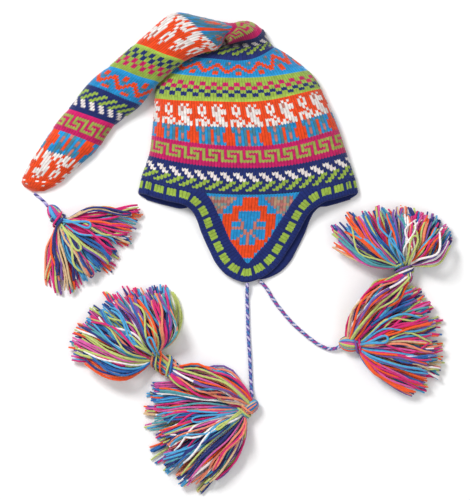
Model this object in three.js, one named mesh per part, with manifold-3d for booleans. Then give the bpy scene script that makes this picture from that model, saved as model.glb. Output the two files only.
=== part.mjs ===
// A knitted chullo hat lying flat: a crown that runs on into a long tail folded to the left,
// two ear flaps, one edging band, three cords and three yarn tassels.
// Millimetres, +Z up from the surface it lies on, +Y from the ear flaps to the top of the crown.
// The origin is on the flat underside of the crown, midway between the rim's two corners.
import * as THREE from "three";
import { mergeVertices } from "three/addons/utils/BufferGeometryUtils.js";
import Module from "manifold-3d";

const wasm = await Module();
wasm.setup();

// Driving sizes.
const knitThick = 2.8; // one layer of stranded knitting
const bandThick = 4.6; // the edging is folded double
const seamGap = 0.7; // between pieces that are sewn together
const rimY = -65.6; // middle of the rim course
const rimHalfWidth = 128;
const rimHeight = 22;
const rimBow = 21; // how far the rim's corners stand above its middle
const bowPower = 2.4; // how late a course turns up towards its ends
const bulge = 0.22; // height of a section's widest place, as a share of its height
const roundness = 2.4; // exponent of a section's domed top
const sectionSides = 28;
const cordRadius = 2.3;
const tailCordRadius = 1.8;
const cordSides = 8;

// Sections of the knitted tube from the rim to the tail's tip, each along a course of knitting.
// near is the end at the left of the crown, which becomes the inside of the turn, and far the other.
const tubeSections = [
  { at: "rim", nearX: -rimHalfWidth, nearY: rimY, farX: rimHalfWidth, farY: rimY, lift: 0, height: rimHeight, bow: rimBow },
  { at: "arrows", nearX: -118, nearY: -31, farX: 118, farY: -31, lift: 0, height: 30, bow: 15 },
  { at: "key", nearX: -114.6, nearY: -1.8, farX: 109, farY: -1.8, lift: 0, height: 34, bow: 13 },
  { at: "llamas", nearX: -112.8, nearY: 22.8, farX: 100, farY: 22.8, lift: 0, height: 36, bow: 11 },
  { at: "brow", nearX: -111.6, nearY: 47.4, farX: 91, farY: 47.4, lift: 0, height: 36, bow: 9 },
  { at: "checks", nearX: -108, nearY: 61, farX: 86, farY: 61, lift: 0, height: 35, bow: 8 },
  { at: "shoulder", nearX: -99, nearY: 76.8, farX: 76, farY: 76.8, lift: 0, height: 31, bow: 7 },
  { at: "zigzag", nearX: -75, nearY: 97.8, farX: 53, farY: 97.8, lift: 0, height: 27, bow: 5 },
  { at: "dome", nearX: -50, nearY: 109.8, farX: 35.4, farY: 109.8, lift: 0, height: 24.5, bow: 3 },
  { at: "crown top", nearX: -28.8, nearY: 113.4, farX: 24, farY: 120, lift: 0, height: 23, bow: 0 },
  { at: "turn start", nearX: -26.4, nearY: 115.8, farX: 16.8, farY: 134.4, lift: 1, height: 22, bow: 0 },
  { at: "turn top", nearX: -25.2, nearY: 117.6, farX: 2.4, farY: 141.6, lift: 2.5, height: 21, bow: 0 },
  { at: "before pinch", nearX: -25.8, nearY: 119.4, farX: -9.6, farY: 141.8, lift: 5, height: 18, bow: 0 },
  { at: "pinch", nearX: -28.2, nearY: 120.6, farX: -21, farY: 139.2, lift: 9, height: 14, bow: 0 },
  { at: "after pinch", nearX: -30, nearY: 116.5, farX: -36, farY: 141.6, lift: 14, height: 16, bow: 0 },
  { at: "tail root", nearX: -33.5, nearY: 111.5, farX: -57.6, farY: 146.4, lift: 21, height: 18, bow: 0 },
  { at: "tail peak", nearX: -42, nearY: 106, farX: -85.2, farY: 151, lift: 25, height: 19, bow: 0 },
  { at: "over shoulder", nearX: -57.6, nearY: 102.6, farX: -109.2, farY: 136.8, lift: 26, height: 19, bow: 0 },
  { at: "tail checks", nearX: -75, nearY: 94.2, farX: -129, farY: 118.8, lift: 24.5, height: 19, bow: 0 },
  { at: "tail zigzag", nearX: -108, nearY: 67.2, farX: -163.4, farY: 90, lift: 17, height: 19, bow: 0 },
  { at: "tail arrows", nearX: -130.2, nearY: 40.8, farX: -189.2, farY: 69, lift: 6, height: 19, bow: 0 },
  { at: "tail key", nearX: -160.8, nearY: 18.6, farX: -216, farY: 37.8, lift: 0, height: 19, bow: 0 },
  { at: "tail llamas", nearX: -178.8, nearY: -6.6, farX: -234, farY: 15, lift: 0, height: 18, bow: 0 },
  { at: "tail narrows", nearX: -192, nearY: -20.4, farX: -248.4, farY: -7.2, lift: 0, height: 17, bow: 0 },
  { at: "tail low", nearX: -211.8, nearY: -38.4, farX: -264, farY: -31.8, lift: 0, height: 15, bow: 0 },
  { at: "tail end", nearX: -229.2, nearY: -52.8, farX: -271.8, farY: -48, lift: 0, height: 12, bow: 0 },
  { at: "tip", nearX: -247.2, nearY: -61.2, farX: -268.8, farY: -56.4, lift: 0, height: 7, bow: 0 },
];

// The ear flap's outline by depth below the rim: half-widths of the panel and of the edging round it.
const flapRows = [
  { panelDepth: -1.2, panelHalf: 60, edgeDepth: 15.6, edgeHalf: 77.4 },
  { panelDepth: 9.2, panelHalf: 49.8, edgeDepth: 22, edgeHalf: 70.2 },
  { panelDepth: 20.4, panelHalf: 43.2, edgeDepth: 31.2, edgeHalf: 64.8 },
  { panelDepth: 32.4, panelHalf: 36, edgeDepth: 43.8, edgeHalf: 59.4 },
  { panelDepth: 44.4, panelHalf: 30, edgeDepth: 57, edgeHalf: 52.8 },
  { panelDepth: 56.2, panelHalf: 23.6, edgeDepth: 67.8, edgeHalf: 46.8 },
  { panelDepth: 67.8, panelHalf: 14.4, edgeDepth: 83.8, edgeHalf: 37.2 },
  { panelDepth: 76.8, panelHalf: 7.2, edgeDepth: 97.8, edgeHalf: 22.2 },
];
const flapTip = { panelDepth: 84, edgeDepth: 105.6 };
const flapMiddleX = 6; // the flap's middle line at the rim
const flapLean = -0.079; // how far that line leans to the left for each millimetre of depth
const panelTopHalf = 54;

// Height of the middle of the upper flap's cloth by depth below the rim.
const flapDrop = [
  { depth: -25, z: 20.7 },
  { depth: 0, z: 20.7 },
  { depth: 10, z: 18 },
  { depth: 22, z: 14.6 },
  { depth: 36, z: 11.2 },
  { depth: 50, z: 8.8 },
  { depth: 65, z: 7.8 },
  { depth: 84, z: 7.5 },
  { depth: 120, z: 7.5 },
];

// Where the edging leaves the crown's rim on each side, and how wide it is there.
const rimBandX = [118, 106, 92, 78];
const rimBandWidth = 17.5;
const rimFlare = 0.22; // how far the edging spreads for each millimetre down from the rim
const mouthGape = 5; // the lower rim lies this much further down than the upper one

// The cords' routes over the surface they lie on, from the hat to the tassel.
const leftCordRoute = [
  [-0.9, -171.8, 7.5],
  [-0.9, -180, 6],
  [-1.1, -186, 3.8],
  [-1, -192, 2.6],
  [-0.6, -202.8, 2.5],
  [-0.4, -212.4, 2.5],
  [0.1, -228, 2.5],
  [0.6, -238, 2.5],
  [1.4, -249.6, 2.5],
  [2.1, -260, 2.5],
  [2.6, -271.2, 2.5],
  [3.1, -282, 2.5],
  [3.6, -294, 2.5],
  [4.3, -302, 3.6],
  [4.8, -309, 6.4],
];
const rightCordRoute = [
  [14.2, -169.1, 2.5],
  [17.8, -172.8, 2.5],
  [22.3, -178, 2.5],
  [26.2, -184.4, 2.5],
  [30.4, -191.4, 2.5],
  [34.6, -197.6, 2.5],
  [39.4, -203.6, 2.5],
  [45.6, -211.4, 2.5],
  [52.3, -218.9, 2.5],
  [58.8, -225.2, 2.5],
  [65.6, -231, 2.5],
  [71.6, -236.2, 2.5],
  [77.9, -241, 2.5],
  [83.2, -244.8, 2.5],
  [88.9, -247.9, 2.5],
  [94.4, -250.2, 2.7],
  [99.4, -251.2, 3.6],
  [104, -250.6, 5],
  [110.9, -248, 7.1],
];
const tailCordRoute = [
  [-257.4, -63.9, 3.2],
  [-255.8, -65.2, 2.7],
  [-253.8, -66.6, 2.3],
  [-251.4, -68.4, 2.1],
  [-249, -70.4, 2.1],
  [-246.8, -72.4, 2.3],
  [-244.8, -74.5, 2.9],
  [-242.6, -77.2, 3.9],
  [-239.5, -80.8, 6],
];

// Tassels. Each bundle fans out from a tied neck: angles are in plan, anticlockwise from +X,
// and lengths are those of its locks in order from the first angle to the last.
const lockRings = [
  { along: 0, swell: 0.42 },
  { along: 0.32, swell: 0.86 },
  { along: 0.82, swell: 1 },
  { along: 1, swell: 0.7 },
];
const lockSides = 6;
const tie = { inner: 5.4, outer: 7.4, width: 5, neck: 5, clearance: 0.35 };
const tieReach = 12; // from the head's middle to the middle of its tie
const fanReach = 17; // from the head's middle to where the locks start
const tailTassel = {
  head: [-232.8, -87.6, 9],
  headSize: [10, 8, 8],
  axis: -58,
  layers: [
    { from: 12, to: -104, radius: 11, tipZ: 11, middleZ: 12, lengths: [96, 94, 84, 76, 76, 80, 75, 52] },
    { from: 2, to: -88, radius: 11.5, tipZ: 19, middleZ: 24, lengths: [78, 68, 62, 66, 68] },
  ],
};
const leftSkirt = {
  head: [4.2, -319, 9],
  headSize: [8, 9, 8],
  axis: 214,
  layers: [
    { from: 168, to: 252, radius: 13, tipZ: 13, middleZ: 13, lengths: [101, 102, 104, 108, 107, 101, 72] },
    { from: 176, to: 242, radius: 13, tipZ: 22, middleZ: 27, lengths: [76, 82, 84, 86, 80] },
  ],
};
const leftPompom = {
  head: [-88, -279, 11],
  headSize: [9, 9, 9],
  axis: 141,
  layers: [
    { from: 80, to: 204, radius: 13, tipZ: 13, middleZ: 14, lengths: [72, 80, 90, 98, 102, 104, 98, 66] },
    { from: 88, to: 190, radius: 13.5, tipZ: 24, middleZ: 30, lengths: [56, 70, 78, 80, 70] },
  ],
};
const rightSkirt = {
  head: [121, -244.6, 9],
  headSize: [11, 10, 9],
  axis: -8,
  layers: [
    { from: 50, to: -38, radius: 13, tipZ: 13, middleZ: 13, lengths: [76, 88, 90, 88, 88, 92, 84, 64] },
    { from: 40, to: -28, radius: 13, tipZ: 22, middleZ: 27, lengths: [64, 72, 72, 72, 70] },
  ],
};
const rightPompom = {
  head: [189, -164, 11],
  headSize: [9, 9, 9],
  axis: 100,
  layers: [
    { from: 168, to: 28, radius: 13, tipZ: 13, middleZ: 14, lengths: [82, 84, 79, 73, 69, 66, 64, 58] },
    { from: 156, to: 40, radius: 13.5, tipZ: 24, middleZ: 30, lengths: [62, 59, 55, 51, 46] },
  ],
};

// The loose yarn that runs on from a tassel's head to the pompom tied further along it.
const leftLink = [
  { x: 1, y: -315, z: 10, radius: 6 },
  { x: -14, y: -299, z: 13, radius: 10 },
  { x: -34, y: -287, z: 14, radius: 13 },
  { x: -60, y: -281, z: 14, radius: 13 },
  { x: -78, y: -279, z: 12, radius: 9 },
  { x: -88, y: -279, z: 11, radius: 6 },
];
const rightLink = [
  { x: 124, y: -238, z: 10, radius: 6 },
  { x: 133, y: -222, z: 13, radius: 11 },
  { x: 148, y: -198, z: 15, radius: 14 },
  { x: 166, y: -182, z: 15, radius: 13 },
  { x: 180, y: -170, z: 12, radius: 9 },
  { x: 189, y: -164, z: 11, radius: 6 },
];

function lerp(a, b, t) {
  return a + (b - a) * t;
}

// A value read from a table by straight lines between its rows.
function readTable(rows, key, value, at) {
  const next = rows.findIndex((row) => row[key] >= at);
  if (next === -1) return rows[rows.length - 1][value];
  if (next === 0) return rows[0][value];
  const before = rows[next - 1];
  const after = rows[next];
  return lerp(before[value], after[value], (at - before[key]) / (after[key] - before[key]));
}

function degrees(angle) {
  return (angle * Math.PI) / 180;
}

// One point of a tube section: turn runs from the far end over the top, inset is measured inwards.
function sectionPoint(section, turn, inset) {
  const halfWidth = Math.hypot(section.farX - section.nearX, section.farY - section.nearY) / 2;
  const across = Math.cos(turn);
  const reach = (1 + (across * (halfWidth - inset)) / halfWidth) / 2;
  const height = section.height - 2 * inset;
  const widest = bulge * height;
  const dome = Math.pow(1 - Math.pow(Math.abs(across), roundness), 1 / roundness);
  const sole = Math.min(1, 1.6 * Math.pow(1 - Math.pow(across, 4), 0.25));
  const rise = Math.sin(turn) >= 0 ? widest + (height - widest) * dome : widest * (1 - sole);
  return new THREE.Vector3(
    lerp(section.nearX, section.farX, reach),
    lerp(section.nearY, section.farY, reach) + section.bow * Math.pow(Math.abs(across), bowPower),
    section.lift + inset + rise,
  );
}

// A geometry from shared vertices and triangles, turned outwards if it came out inside out.
function closedGeometry(points, triangles) {
  let volume = 0;
  const cross = new THREE.Vector3();
  for (const [a, b, c] of triangles) {
    volume += points[a].dot(cross.crossVectors(points[b], points[c]));
  }
  const faces = volume < 0 ? triangles.map(([a, b, c]) => [a, c, b]) : triangles;
  const geometry = new THREE.BufferGeometry().setFromPoints(points);
  geometry.setIndex(faces.flat());
  geometry.computeVertexNormals();
  return geometry;
}

// Triangles between two closed rings of points that start at the given indices.
function bridge(triangles, first, second, count) {
  for (let k = 0; k < count; k++) {
    const next = (k + 1) % count;
    triangles.push([first + k, first + next, second + next], [first + k, second + next, second + k]);
  }
}

// Triangles from a closed ring to one point.
function cap(triangles, first, apex, count, reversed) {
  for (let k = 0; k < count; k++) {
    const next = (k + 1) % count;
    triangles.push(reversed ? [first + next, first + k, apex] : [first + k, first + next, apex]);
  }
}

function middleOf(points) {
  const sum = new THREE.Vector3();
  points.forEach((point) => sum.add(point));
  return sum.divideScalar(points.length);
}

// The crown and tail: an outer and an inner skin joined round the rim, each closed at the tail's tip.
function crownAndTail() {
  const points = [];
  const triangles = [];
  const turns = Array.from({ length: sectionSides }, (_, k) => (2 * Math.PI * k) / sectionSides);
  const skin = (sections, inset) => {
    const first = points.length;
    for (const section of sections) {
      turns.forEach((turn) => points.push(sectionPoint(section, turn, inset)));
    }
    const last = points.length - sectionSides;
    points.push(middleOf(points.slice(last)));
    return { first, last, apex: points.length - 1 };
  };
  const outer = skin(tubeSections, 0);
  const inner = skin(tubeSections.slice(0, -1), knitThick);
  points[outer.apex].add(new THREE.Vector3(-1.5, -3, 0));
  for (let ring = outer.first; ring < outer.last; ring += sectionSides) {
    bridge(triangles, ring, ring + sectionSides, sectionSides);
  }
  cap(triangles, outer.last, outer.apex, sectionSides, false);
  for (let ring = inner.first; ring < inner.last; ring += sectionSides) {
    bridge(triangles, ring + sectionSides, ring, sectionSides);
  }
  cap(triangles, inner.last, inner.apex, sectionSides, true);
  bridge(triangles, inner.first, outer.first, sectionSides);
  return closedGeometry(points, triangles);
}

// The place of a flap point: across from the flap's middle line, depth below the rim.
function flapPlace(across, depth, lower) {
  const slipX = lower ? 2 + 0.14 * depth : 0;
  const slipY = lower ? 0.035 * depth : 0;
  return [flapMiddleX + flapLean * depth + across + slipX, rimY - depth + slipY];
}

// How far a rim point stands above the middle of the rim course.
function rimRise(x) {
  return rimBow * Math.pow(Math.min(1, Math.abs(x) / rimHalfWidth), bowPower);
}

// Height of the middle of the cloth on the upper layer, at the rim and down the flap.
function upperMiddle(x, depth) {
  const rim = tubeSections[0];
  const across = Math.min(1, Math.abs(x) / rimHalfWidth);
  const widest = bulge * rim.height;
  const dome = Math.pow(1 - Math.pow(across, roundness), 1 / roundness);
  const rimTop = widest + (rim.height - widest) * dome - knitThick / 2;
  const sink = Math.max(0, rimTop - readTable(flapDrop, "depth", "z", depth));
  return depth <= 0 ? rimTop : Math.max(rimTop - sink, Math.min(rimTop, 7.5));
}

// The stations of the edging on one layer, from the left corner to the right one.
function layerStations(lower) {
  const gape = lower ? mouthGape : 0;
  const heightAt = (x, depth) => (lower ? bandThick / 2 : upperMiddle(x, depth));
  const rimStation = (side) => (x) => {
    const innerY = rimY + rimRise(x) - seamGap;
    const width = rimBandWidth + gape;
    const outerX = side * (x + rimFlare * width * (x / rimHalfWidth));
    return {
      inner: new THREE.Vector3(side * x, innerY, heightAt(x, 0)),
      outer: new THREE.Vector3(outerX, innerY - width, heightAt(x, 6)),
    };
  };
  const flapStation = (side) => (row) => {
    const [innerX, innerY] = flapPlace(side * row.panelHalf, row.panelDepth, lower);
    const [outerX, outerY] = flapPlace(side * row.edgeHalf, row.edgeDepth, lower);
    const seatedY = Math.min(innerY, rimY + rimRise(innerX) - seamGap);
    return {
      inner: new THREE.Vector3(innerX, seatedY, heightAt(innerX, row.panelDepth)),
      outer: new THREE.Vector3(outerX, outerY, heightAt(outerX, row.edgeDepth)),
    };
  };
  const [tipInX, tipInY] = flapPlace(0, flapTip.panelDepth, lower);
  const [tipOutX, tipOutY] = flapPlace(0, flapTip.edgeDepth, lower);
  const tip = {
    inner: new THREE.Vector3(tipInX, tipInY, heightAt(0, flapTip.panelDepth)),
    outer: new THREE.Vector3(tipOutX, tipOutY, heightAt(0, flapTip.edgeDepth)),
  };
  return [
    ...rimBandX.map(rimStation(-1)),
    ...flapRows.map(flapStation(-1)),
    tip,
    ...[...flapRows].reverse().map(flapStation(1)),
    ...[...rimBandX].reverse().map(rimStation(1)),
  ];
}

// The stations where the edging turns round a corner of the mouth, from the upper layer down.
function cornerStations(side) {
  const rim = tubeSections[0];
  return [22, -1, -24].map((angle) => {
    const turn = side > 0 ? degrees(angle) : Math.PI - degrees(angle);
    const inner = sectionPoint(rim, turn, knitThick / 2);
    inner.y -= seamGap;
    inner.z = Math.max(inner.z, bandThick / 2);
    const share = (22 - angle) / 46;
    const width = rimBandWidth + mouthGape * share;
    const outer = inner.clone().add(new THREE.Vector3(side * rimFlare * width, -width, 0));
    return { inner, outer };
  });
}

// The edging: a closed loop of rounded sections round the rim and both flaps.
function edgingBand() {
  const stations = [
    ...layerStations(false),
    ...cornerStations(1),
    ...layerStations(true).reverse(),
    ...cornerStations(-1).reverse(),
  ];
  const profile = [
    { across: 0, half: 0.3 },
    { across: 0.12, half: 0.46 },
    { across: 0.82, half: 0.5 },
    { across: 1, half: 0.3 },
  ];
  const count = stations.length;
  const middles = stations.map(({ inner, outer }) => inner.clone().lerp(outer, 0.5));
  const points = [];
  stations.forEach(({ inner, outer }, i) => {
    const along = middles[(i + 1) % count].clone().sub(middles[(i + count - 1) % count]);
    const across = outer.clone().sub(inner);
    const up = across.clone().cross(along).normalize().multiplyScalar(bandThick);
    const upper = profile.map((p) => inner.clone().lerp(outer, p.across).addScaledVector(up, p.half));
    const under = profile.map((p) => inner.clone().lerp(outer, p.across).addScaledVector(up, -p.half));
    [...upper, ...under.reverse()].forEach((point) => {
      point.z = Math.max(0, point.z);
      points.push(point);
    });
  });
  const triangles = [];
  const sides = profile.length * 2;
  stations.forEach((_, i) => {
    bridge(triangles, i * sides, ((i + 1) % count) * sides, sides);
  });
  return closedGeometry(points, triangles);
}

// A flap's knitted panel: a pointed sheet that fills the space inside the edging.
function flapPanel(lower) {
  const steps = 4;
  const inset = 0.6;
  const rows = [{ panelDepth: inset, panelHalf: panelTopHalf }, ...flapRows.slice(1)];
  const points = [];
  const rowPoints = (side) => {
    rows.forEach((row, i) => {
      for (let k = 0; k <= steps; k++) {
        const share = (2 * k) / steps - 1;
        const half = row.panelHalf - inset * 1.6;
        const [x, y] = flapPlace(share * half, row.panelDepth, lower);
        const top = i === 0 ? rimY + rimRise(x) - inset : y;
        const middle = lower ? knitThick / 2 : upperMiddle(x, row.panelDepth);
        points.push(new THREE.Vector3(x, top, middle + (side * knitThick) / 2));
      }
    });
    const [x, y] = flapPlace(0, flapTip.panelDepth - 2 * inset, lower);
    const middle = lower ? knitThick / 2 : upperMiddle(x, flapTip.panelDepth);
    points.push(new THREE.Vector3(x, y, middle + (side * knitThick) / 2));
  };
  rowPoints(1);
  const under = points.length;
  rowPoints(-1);
  const wide = steps + 1;
  const tip = under - 1;
  const triangles = [];
  const face = (a, b, c) => {
    triangles.push([a, b, c], [a + under, c + under, b + under]);
  };
  for (let i = 0; i < rows.length - 1; i++) {
    for (let k = 0; k < steps; k++) {
      const a = i * wide + k;
      face(a, a + wide, a + wide + 1);
      face(a, a + wide + 1, a + 1);
    }
  }
  const lastRow = (rows.length - 1) * wide;
  for (let k = 0; k < steps; k++) face(lastRow + k, tip, lastRow + k + 1);
  const border = [
    ...rows.map((_, i) => i * wide),
    tip,
    ...rows.map((_, i) => i * wide + steps).reverse(),
    ...Array.from({ length: steps - 1 }, (_, k) => steps - 1 - k),
  ];
  border.forEach((a, i) => {
    const b = border[(i + 1) % border.length];
    triangles.push([a, a + under, b + under], [a, b + under, b]);
  });
  return closedGeometry(points, triangles);
}

// A cord: one section extruded along its route.
function cordTube(route, radius, steps) {
  const outline = new THREE.Shape();
  for (let k = 0; k < cordSides; k++) {
    const turn = (2 * Math.PI * (k + 0.5)) / cordSides;
    const place = [radius * Math.cos(turn), radius * Math.sin(turn)];
    if (k === 0) outline.moveTo(...place);
    else outline.lineTo(...place);
  }
  outline.closePath();
  const path = new THREE.CatmullRomCurve3(route.map((point) => new THREE.Vector3(...point)));
  return new THREE.ExtrudeGeometry(outline, { steps, extrudePath: path, bevelEnabled: false });
}

// A closed geometry as a solid that can be joined and cut.
function solidOf(geometry) {
  const bare = geometry.index ? geometry.toNonIndexed() : geometry.clone();
  const shared = new THREE.BufferGeometry().setAttribute("position", bare.getAttribute("position"));
  const merged = mergeVertices(shared, 1e-3);
  return new wasm.Manifold(
    new wasm.Mesh({
      numProp: 3,
      vertProperties: merged.attributes.position.array,
      triVerts: new Uint32Array(merged.index.array),
    }),
  );
}

function geometryOf(solid) {
  const { numProp, vertProperties, triVerts } = solid.getMesh();
  const count = vertProperties.length / numProp;
  const position = new Float32Array(count * 3);
  for (let i = 0; i < count; i++) {
    position.set(vertProperties.subarray(i * numProp, i * numProp + 3), i * 3);
  }
  const geometry = new THREE.BufferGeometry();
  geometry.setAttribute("position", new THREE.BufferAttribute(position, 3));
  geometry.setIndex(new THREE.BufferAttribute(new Uint32Array(triVerts), 1));
  geometry.computeVertexNormals();
  return geometry;
}

// A closed rope of round rings: each ring has a middle and a radius, and lies across the rope.
function rope(rings, sides) {
  const points = [];
  rings.forEach(({ middle, radius }, i) => {
    const before = rings[Math.max(0, i - 1)].middle;
    const after = rings[Math.min(rings.length - 1, i + 1)].middle;
    const along = after.clone().sub(before).normalize();
    const level = new THREE.Vector3(-along.y, along.x, 0).normalize();
    const upright = level.clone().cross(along).negate();
    for (let k = 0; k < sides; k++) {
      const turn = (2 * Math.PI * k) / sides;
      const point = middle
        .clone()
        .addScaledVector(level, radius * Math.cos(turn))
        .addScaledVector(upright, radius * Math.sin(turn));
      point.z = Math.max(0.2, point.z);
      points.push(point);
    }
  });
  const ends = [rings[0].middle.clone(), rings[rings.length - 1].middle.clone()];
  points.push(...ends);
  const triangles = [];
  for (let i = 0; i < rings.length - 1; i++) bridge(triangles, i * sides, (i + 1) * sides, sides);
  cap(triangles, (rings.length - 1) * sides, points.length - 1, sides, false);
  cap(triangles, 0, points.length - 2, sides, true);
  return closedGeometry(points, triangles);
}

function alongAxis(tassel, reach) {
  const angle = degrees(tassel.axis);
  const [x, y, z] = tassel.head;
  return new THREE.Vector3(x + reach * Math.cos(angle), y + reach * Math.sin(angle), z);
}

// A ring round a tassel's neck, with the given inner and outer radius and width.
function neckRing(tassel, inner, outer, width) {
  const half = width / 2;
  const profile = [
    [inner, -half],
    [outer, -half * 0.7],
    [outer, half * 0.7],
    [inner, half],
    [inner, -half],
  ].map(([r, y]) => new THREE.Vector2(r, y));
  const ring = new THREE.LatheGeometry(profile, 10);
  ring.rotateZ(degrees(tassel.axis - 90));
  const middle = alongAxis(tassel, tieReach);
  ring.translate(middle.x, middle.y, middle.z);
  return ring;
}

// A bundle: its head, its neck and its fanned locks joined in one solid, with room for the tie.
function bundle(tassel) {
  const head = new THREE.SphereGeometry(1, 9, 6);
  head.scale(...tassel.headSize);
  head.rotateZ(degrees(tassel.axis));
  head.translate(...tassel.head);
  let solid = solidOf(head);
  const start = alongAxis(tassel, fanReach);
  const neckEnds = [alongAxis(tassel, 2), start].map((middle) => ({ middle, radius: tie.neck }));
  solid = solid.add(solidOf(rope(neckEnds, 8)));
  for (const layer of tassel.layers) {
    layer.lengths.forEach((length, i) => {
      const angle = degrees(lerp(layer.from, layer.to, i / (layer.lengths.length - 1)));
      const rings = lockRings.map(({ along, swell }) => {
        const radius = layer.radius * swell;
        const settled = along < 0.5
          ? lerp(start.z, layer.middleZ, along / 0.5)
          : lerp(layer.middleZ, layer.tipZ, (along - 0.5) / 0.5);
        const middle = start.clone();
        middle.x += length * along * Math.cos(angle);
        middle.y += length * along * Math.sin(angle);
        middle.z = Math.max(radius * 0.9, settled);
        return { middle, radius };
      });
      solid = solid.add(solidOf(rope(rings, lockSides)));
    });
  }
  const room = neckRing(tassel, tie.inner - tie.clearance, tie.outer + tie.clearance, tie.width + 0.7);
  return solid.subtract(solidOf(room));
}

// The biggest body of a solid, without the crumbs that a cut can leave.
function largest(solid) {
  return solid.decompose().sort((a, b) => b.volume() - a.volume())[0];
}

function linkRope(rows) {
  const rings = rows.map(({ x, y, z, radius }) => ({ middle: new THREE.Vector3(x, y, z), radius }));
  return solidOf(rope(rings, 8));
}

// Two bundles on one cord: the skirt, the loose yarn and the pompom are the same yarn tied twice.
function doubleTassel(skirt, pompom, link) {
  const room = [skirt, pompom].map((tassel) =>
    solidOf(neckRing(tassel, tie.inner - tie.clearance, tie.outer + tie.clearance, tie.width + 0.7)),
  );
  const joined = bundle(skirt).add(bundle(pompom)).add(linkRope(link));
  return geometryOf(largest(joined.subtract(room[0]).subtract(room[1])));
}

function tieRing(tassel) {
  return neckRing(tassel, tie.inner, tie.outer, tie.width);
}

const hat = new THREE.Group();

function addPiece(name, geometry, color, roughness = 0.95) {
  const material = new THREE.MeshStandardMaterial({ color, roughness, metalness: 0 });
  const mesh = new THREE.Mesh(geometry, material);
  mesh.name = name;
  hat.add(mesh);
}

addPiece("crown_and_tail", crownAndTail(), 0xd8481c);
addPiece("edging_band", edgingBand(), 0x1c2a6b);
addPiece("ear_flap_upper", flapPanel(false), 0x1f93d0);
addPiece("ear_flap_lower", flapPanel(true), 0x1f93d0);
addPiece("left_flap_cord", cordTube(leftCordRoute, cordRadius, 14), 0x6d6fb8, 0.9);
addPiece("right_flap_cord", cordTube(rightCordRoute, cordRadius, 16), 0x6d6fb8, 0.9);
addPiece("tail_cord", cordTube(tailCordRoute, tailCordRadius, 8), 0x8f8cc4, 0.9);
addPiece("tail_tassel", geometryOf(bundle(tailTassel)), 0xc83f6d);
addPiece("left_tassel", doubleTassel(leftSkirt, leftPompom, leftLink), 0x3f8fc0);
addPiece("right_tassel", doubleTassel(rightSkirt, rightPompom, rightLink), 0xc8508a);
addPiece("tail_tassel_tie", tieRing(tailTassel), 0x2f6fb5);
addPiece("left_tassel_tie", tieRing(leftSkirt), 0x9fb0bd);
addPiece("left_pompom_tie", tieRing(leftPompom), 0x2f6f9f);
addPiece("right_tassel_tie", tieRing(rightSkirt), 0xc2408c);
addPiece("right_pompom_tie", tieRing(rightPompom), 0x2c4f7d);

export default hat;
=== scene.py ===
import math

import bpy
import numpy as np
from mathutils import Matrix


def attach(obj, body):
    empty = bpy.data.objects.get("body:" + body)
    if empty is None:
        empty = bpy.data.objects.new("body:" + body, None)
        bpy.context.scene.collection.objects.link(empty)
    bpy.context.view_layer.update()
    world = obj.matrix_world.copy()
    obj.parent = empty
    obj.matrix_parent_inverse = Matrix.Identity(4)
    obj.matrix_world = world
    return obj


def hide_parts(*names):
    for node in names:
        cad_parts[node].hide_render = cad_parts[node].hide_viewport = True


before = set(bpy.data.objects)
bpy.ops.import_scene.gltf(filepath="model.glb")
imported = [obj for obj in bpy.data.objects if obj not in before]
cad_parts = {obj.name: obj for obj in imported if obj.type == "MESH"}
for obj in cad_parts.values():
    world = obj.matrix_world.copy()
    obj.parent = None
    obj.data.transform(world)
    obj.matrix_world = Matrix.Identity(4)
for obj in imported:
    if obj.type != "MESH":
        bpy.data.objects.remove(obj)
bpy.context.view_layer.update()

mm = 0.001
print("frame loaded:", len(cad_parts), "nodes")

# The photograph looks almost straight down on the hat.
cameraLook = {
    "middle": (-0.0156, -0.1320, 0.0),  # point of the surface at the frame's middle
    "frameHeight": 0.602,  # metres of surface from the frame's lower edge to its upper one
    "distance": 4.0,
    "elevation": 88.5,
    "sensor": 36.0,
}


def addToScene(name, data):
    # An object that holds the data, linked into the scene.
    thing = bpy.data.objects.new(name, data)
    bpy.context.scene.collection.objects.link(thing)
    return thing


def makeCamera(look):
    # The camera stands back from the middle along its line of sight; lens = sensor x distance / height.
    tilt = math.radians(look["elevation"])
    data = bpy.data.cameras.new("camera")
    data.sensor_width = look["sensor"]
    data.lens = look["sensor"] * look["distance"] / look["frameHeight"]
    camera = addToScene("camera", data)
    x, y, z = look["middle"]
    camera.location = (x, y - look["distance"] * math.cos(tilt), z + look["distance"] * math.sin(tilt))
    camera.rotation_euler = (math.pi / 2 - tilt, 0, 0)
    bpy.context.scene.camera = camera


makeCamera(cameraLook)
print("camera placed")
up = np.array([0, 0, 1.0])


def linear(colours):
    # Screen colours of 0 to 255 as the linear light that materials take.
    share = np.array([*colours], float) / 255
    return np.where(share <= 0.04045, share / 12.92, ((share + 0.055) / 1.055) ** 2.4)


def smoothRows(rows, at, closed=False):
    # A cubic through a table's rows: each value blends the four rows round it (Catmull-Rom).
    rows, last = np.asarray(rows, float), len(rows) - 1
    at = at if closed else np.clip(at, 0, last)
    base = np.minimum(np.floor(at).astype(int), last if closed else last - 1)
    near = base + np.arange(-1, 3)[:, None]
    a, b, c, d = rows[near % len(rows) if closed else np.clip(near, 0, last)]
    f = (at - base)[:, None]
    return 0.5 * (2 * b + (c - a) * f + (2 * a - 5 * b + 4 * c - d) * f**2 + (3 * b - a - 3 * c + d) * f**3)


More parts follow.
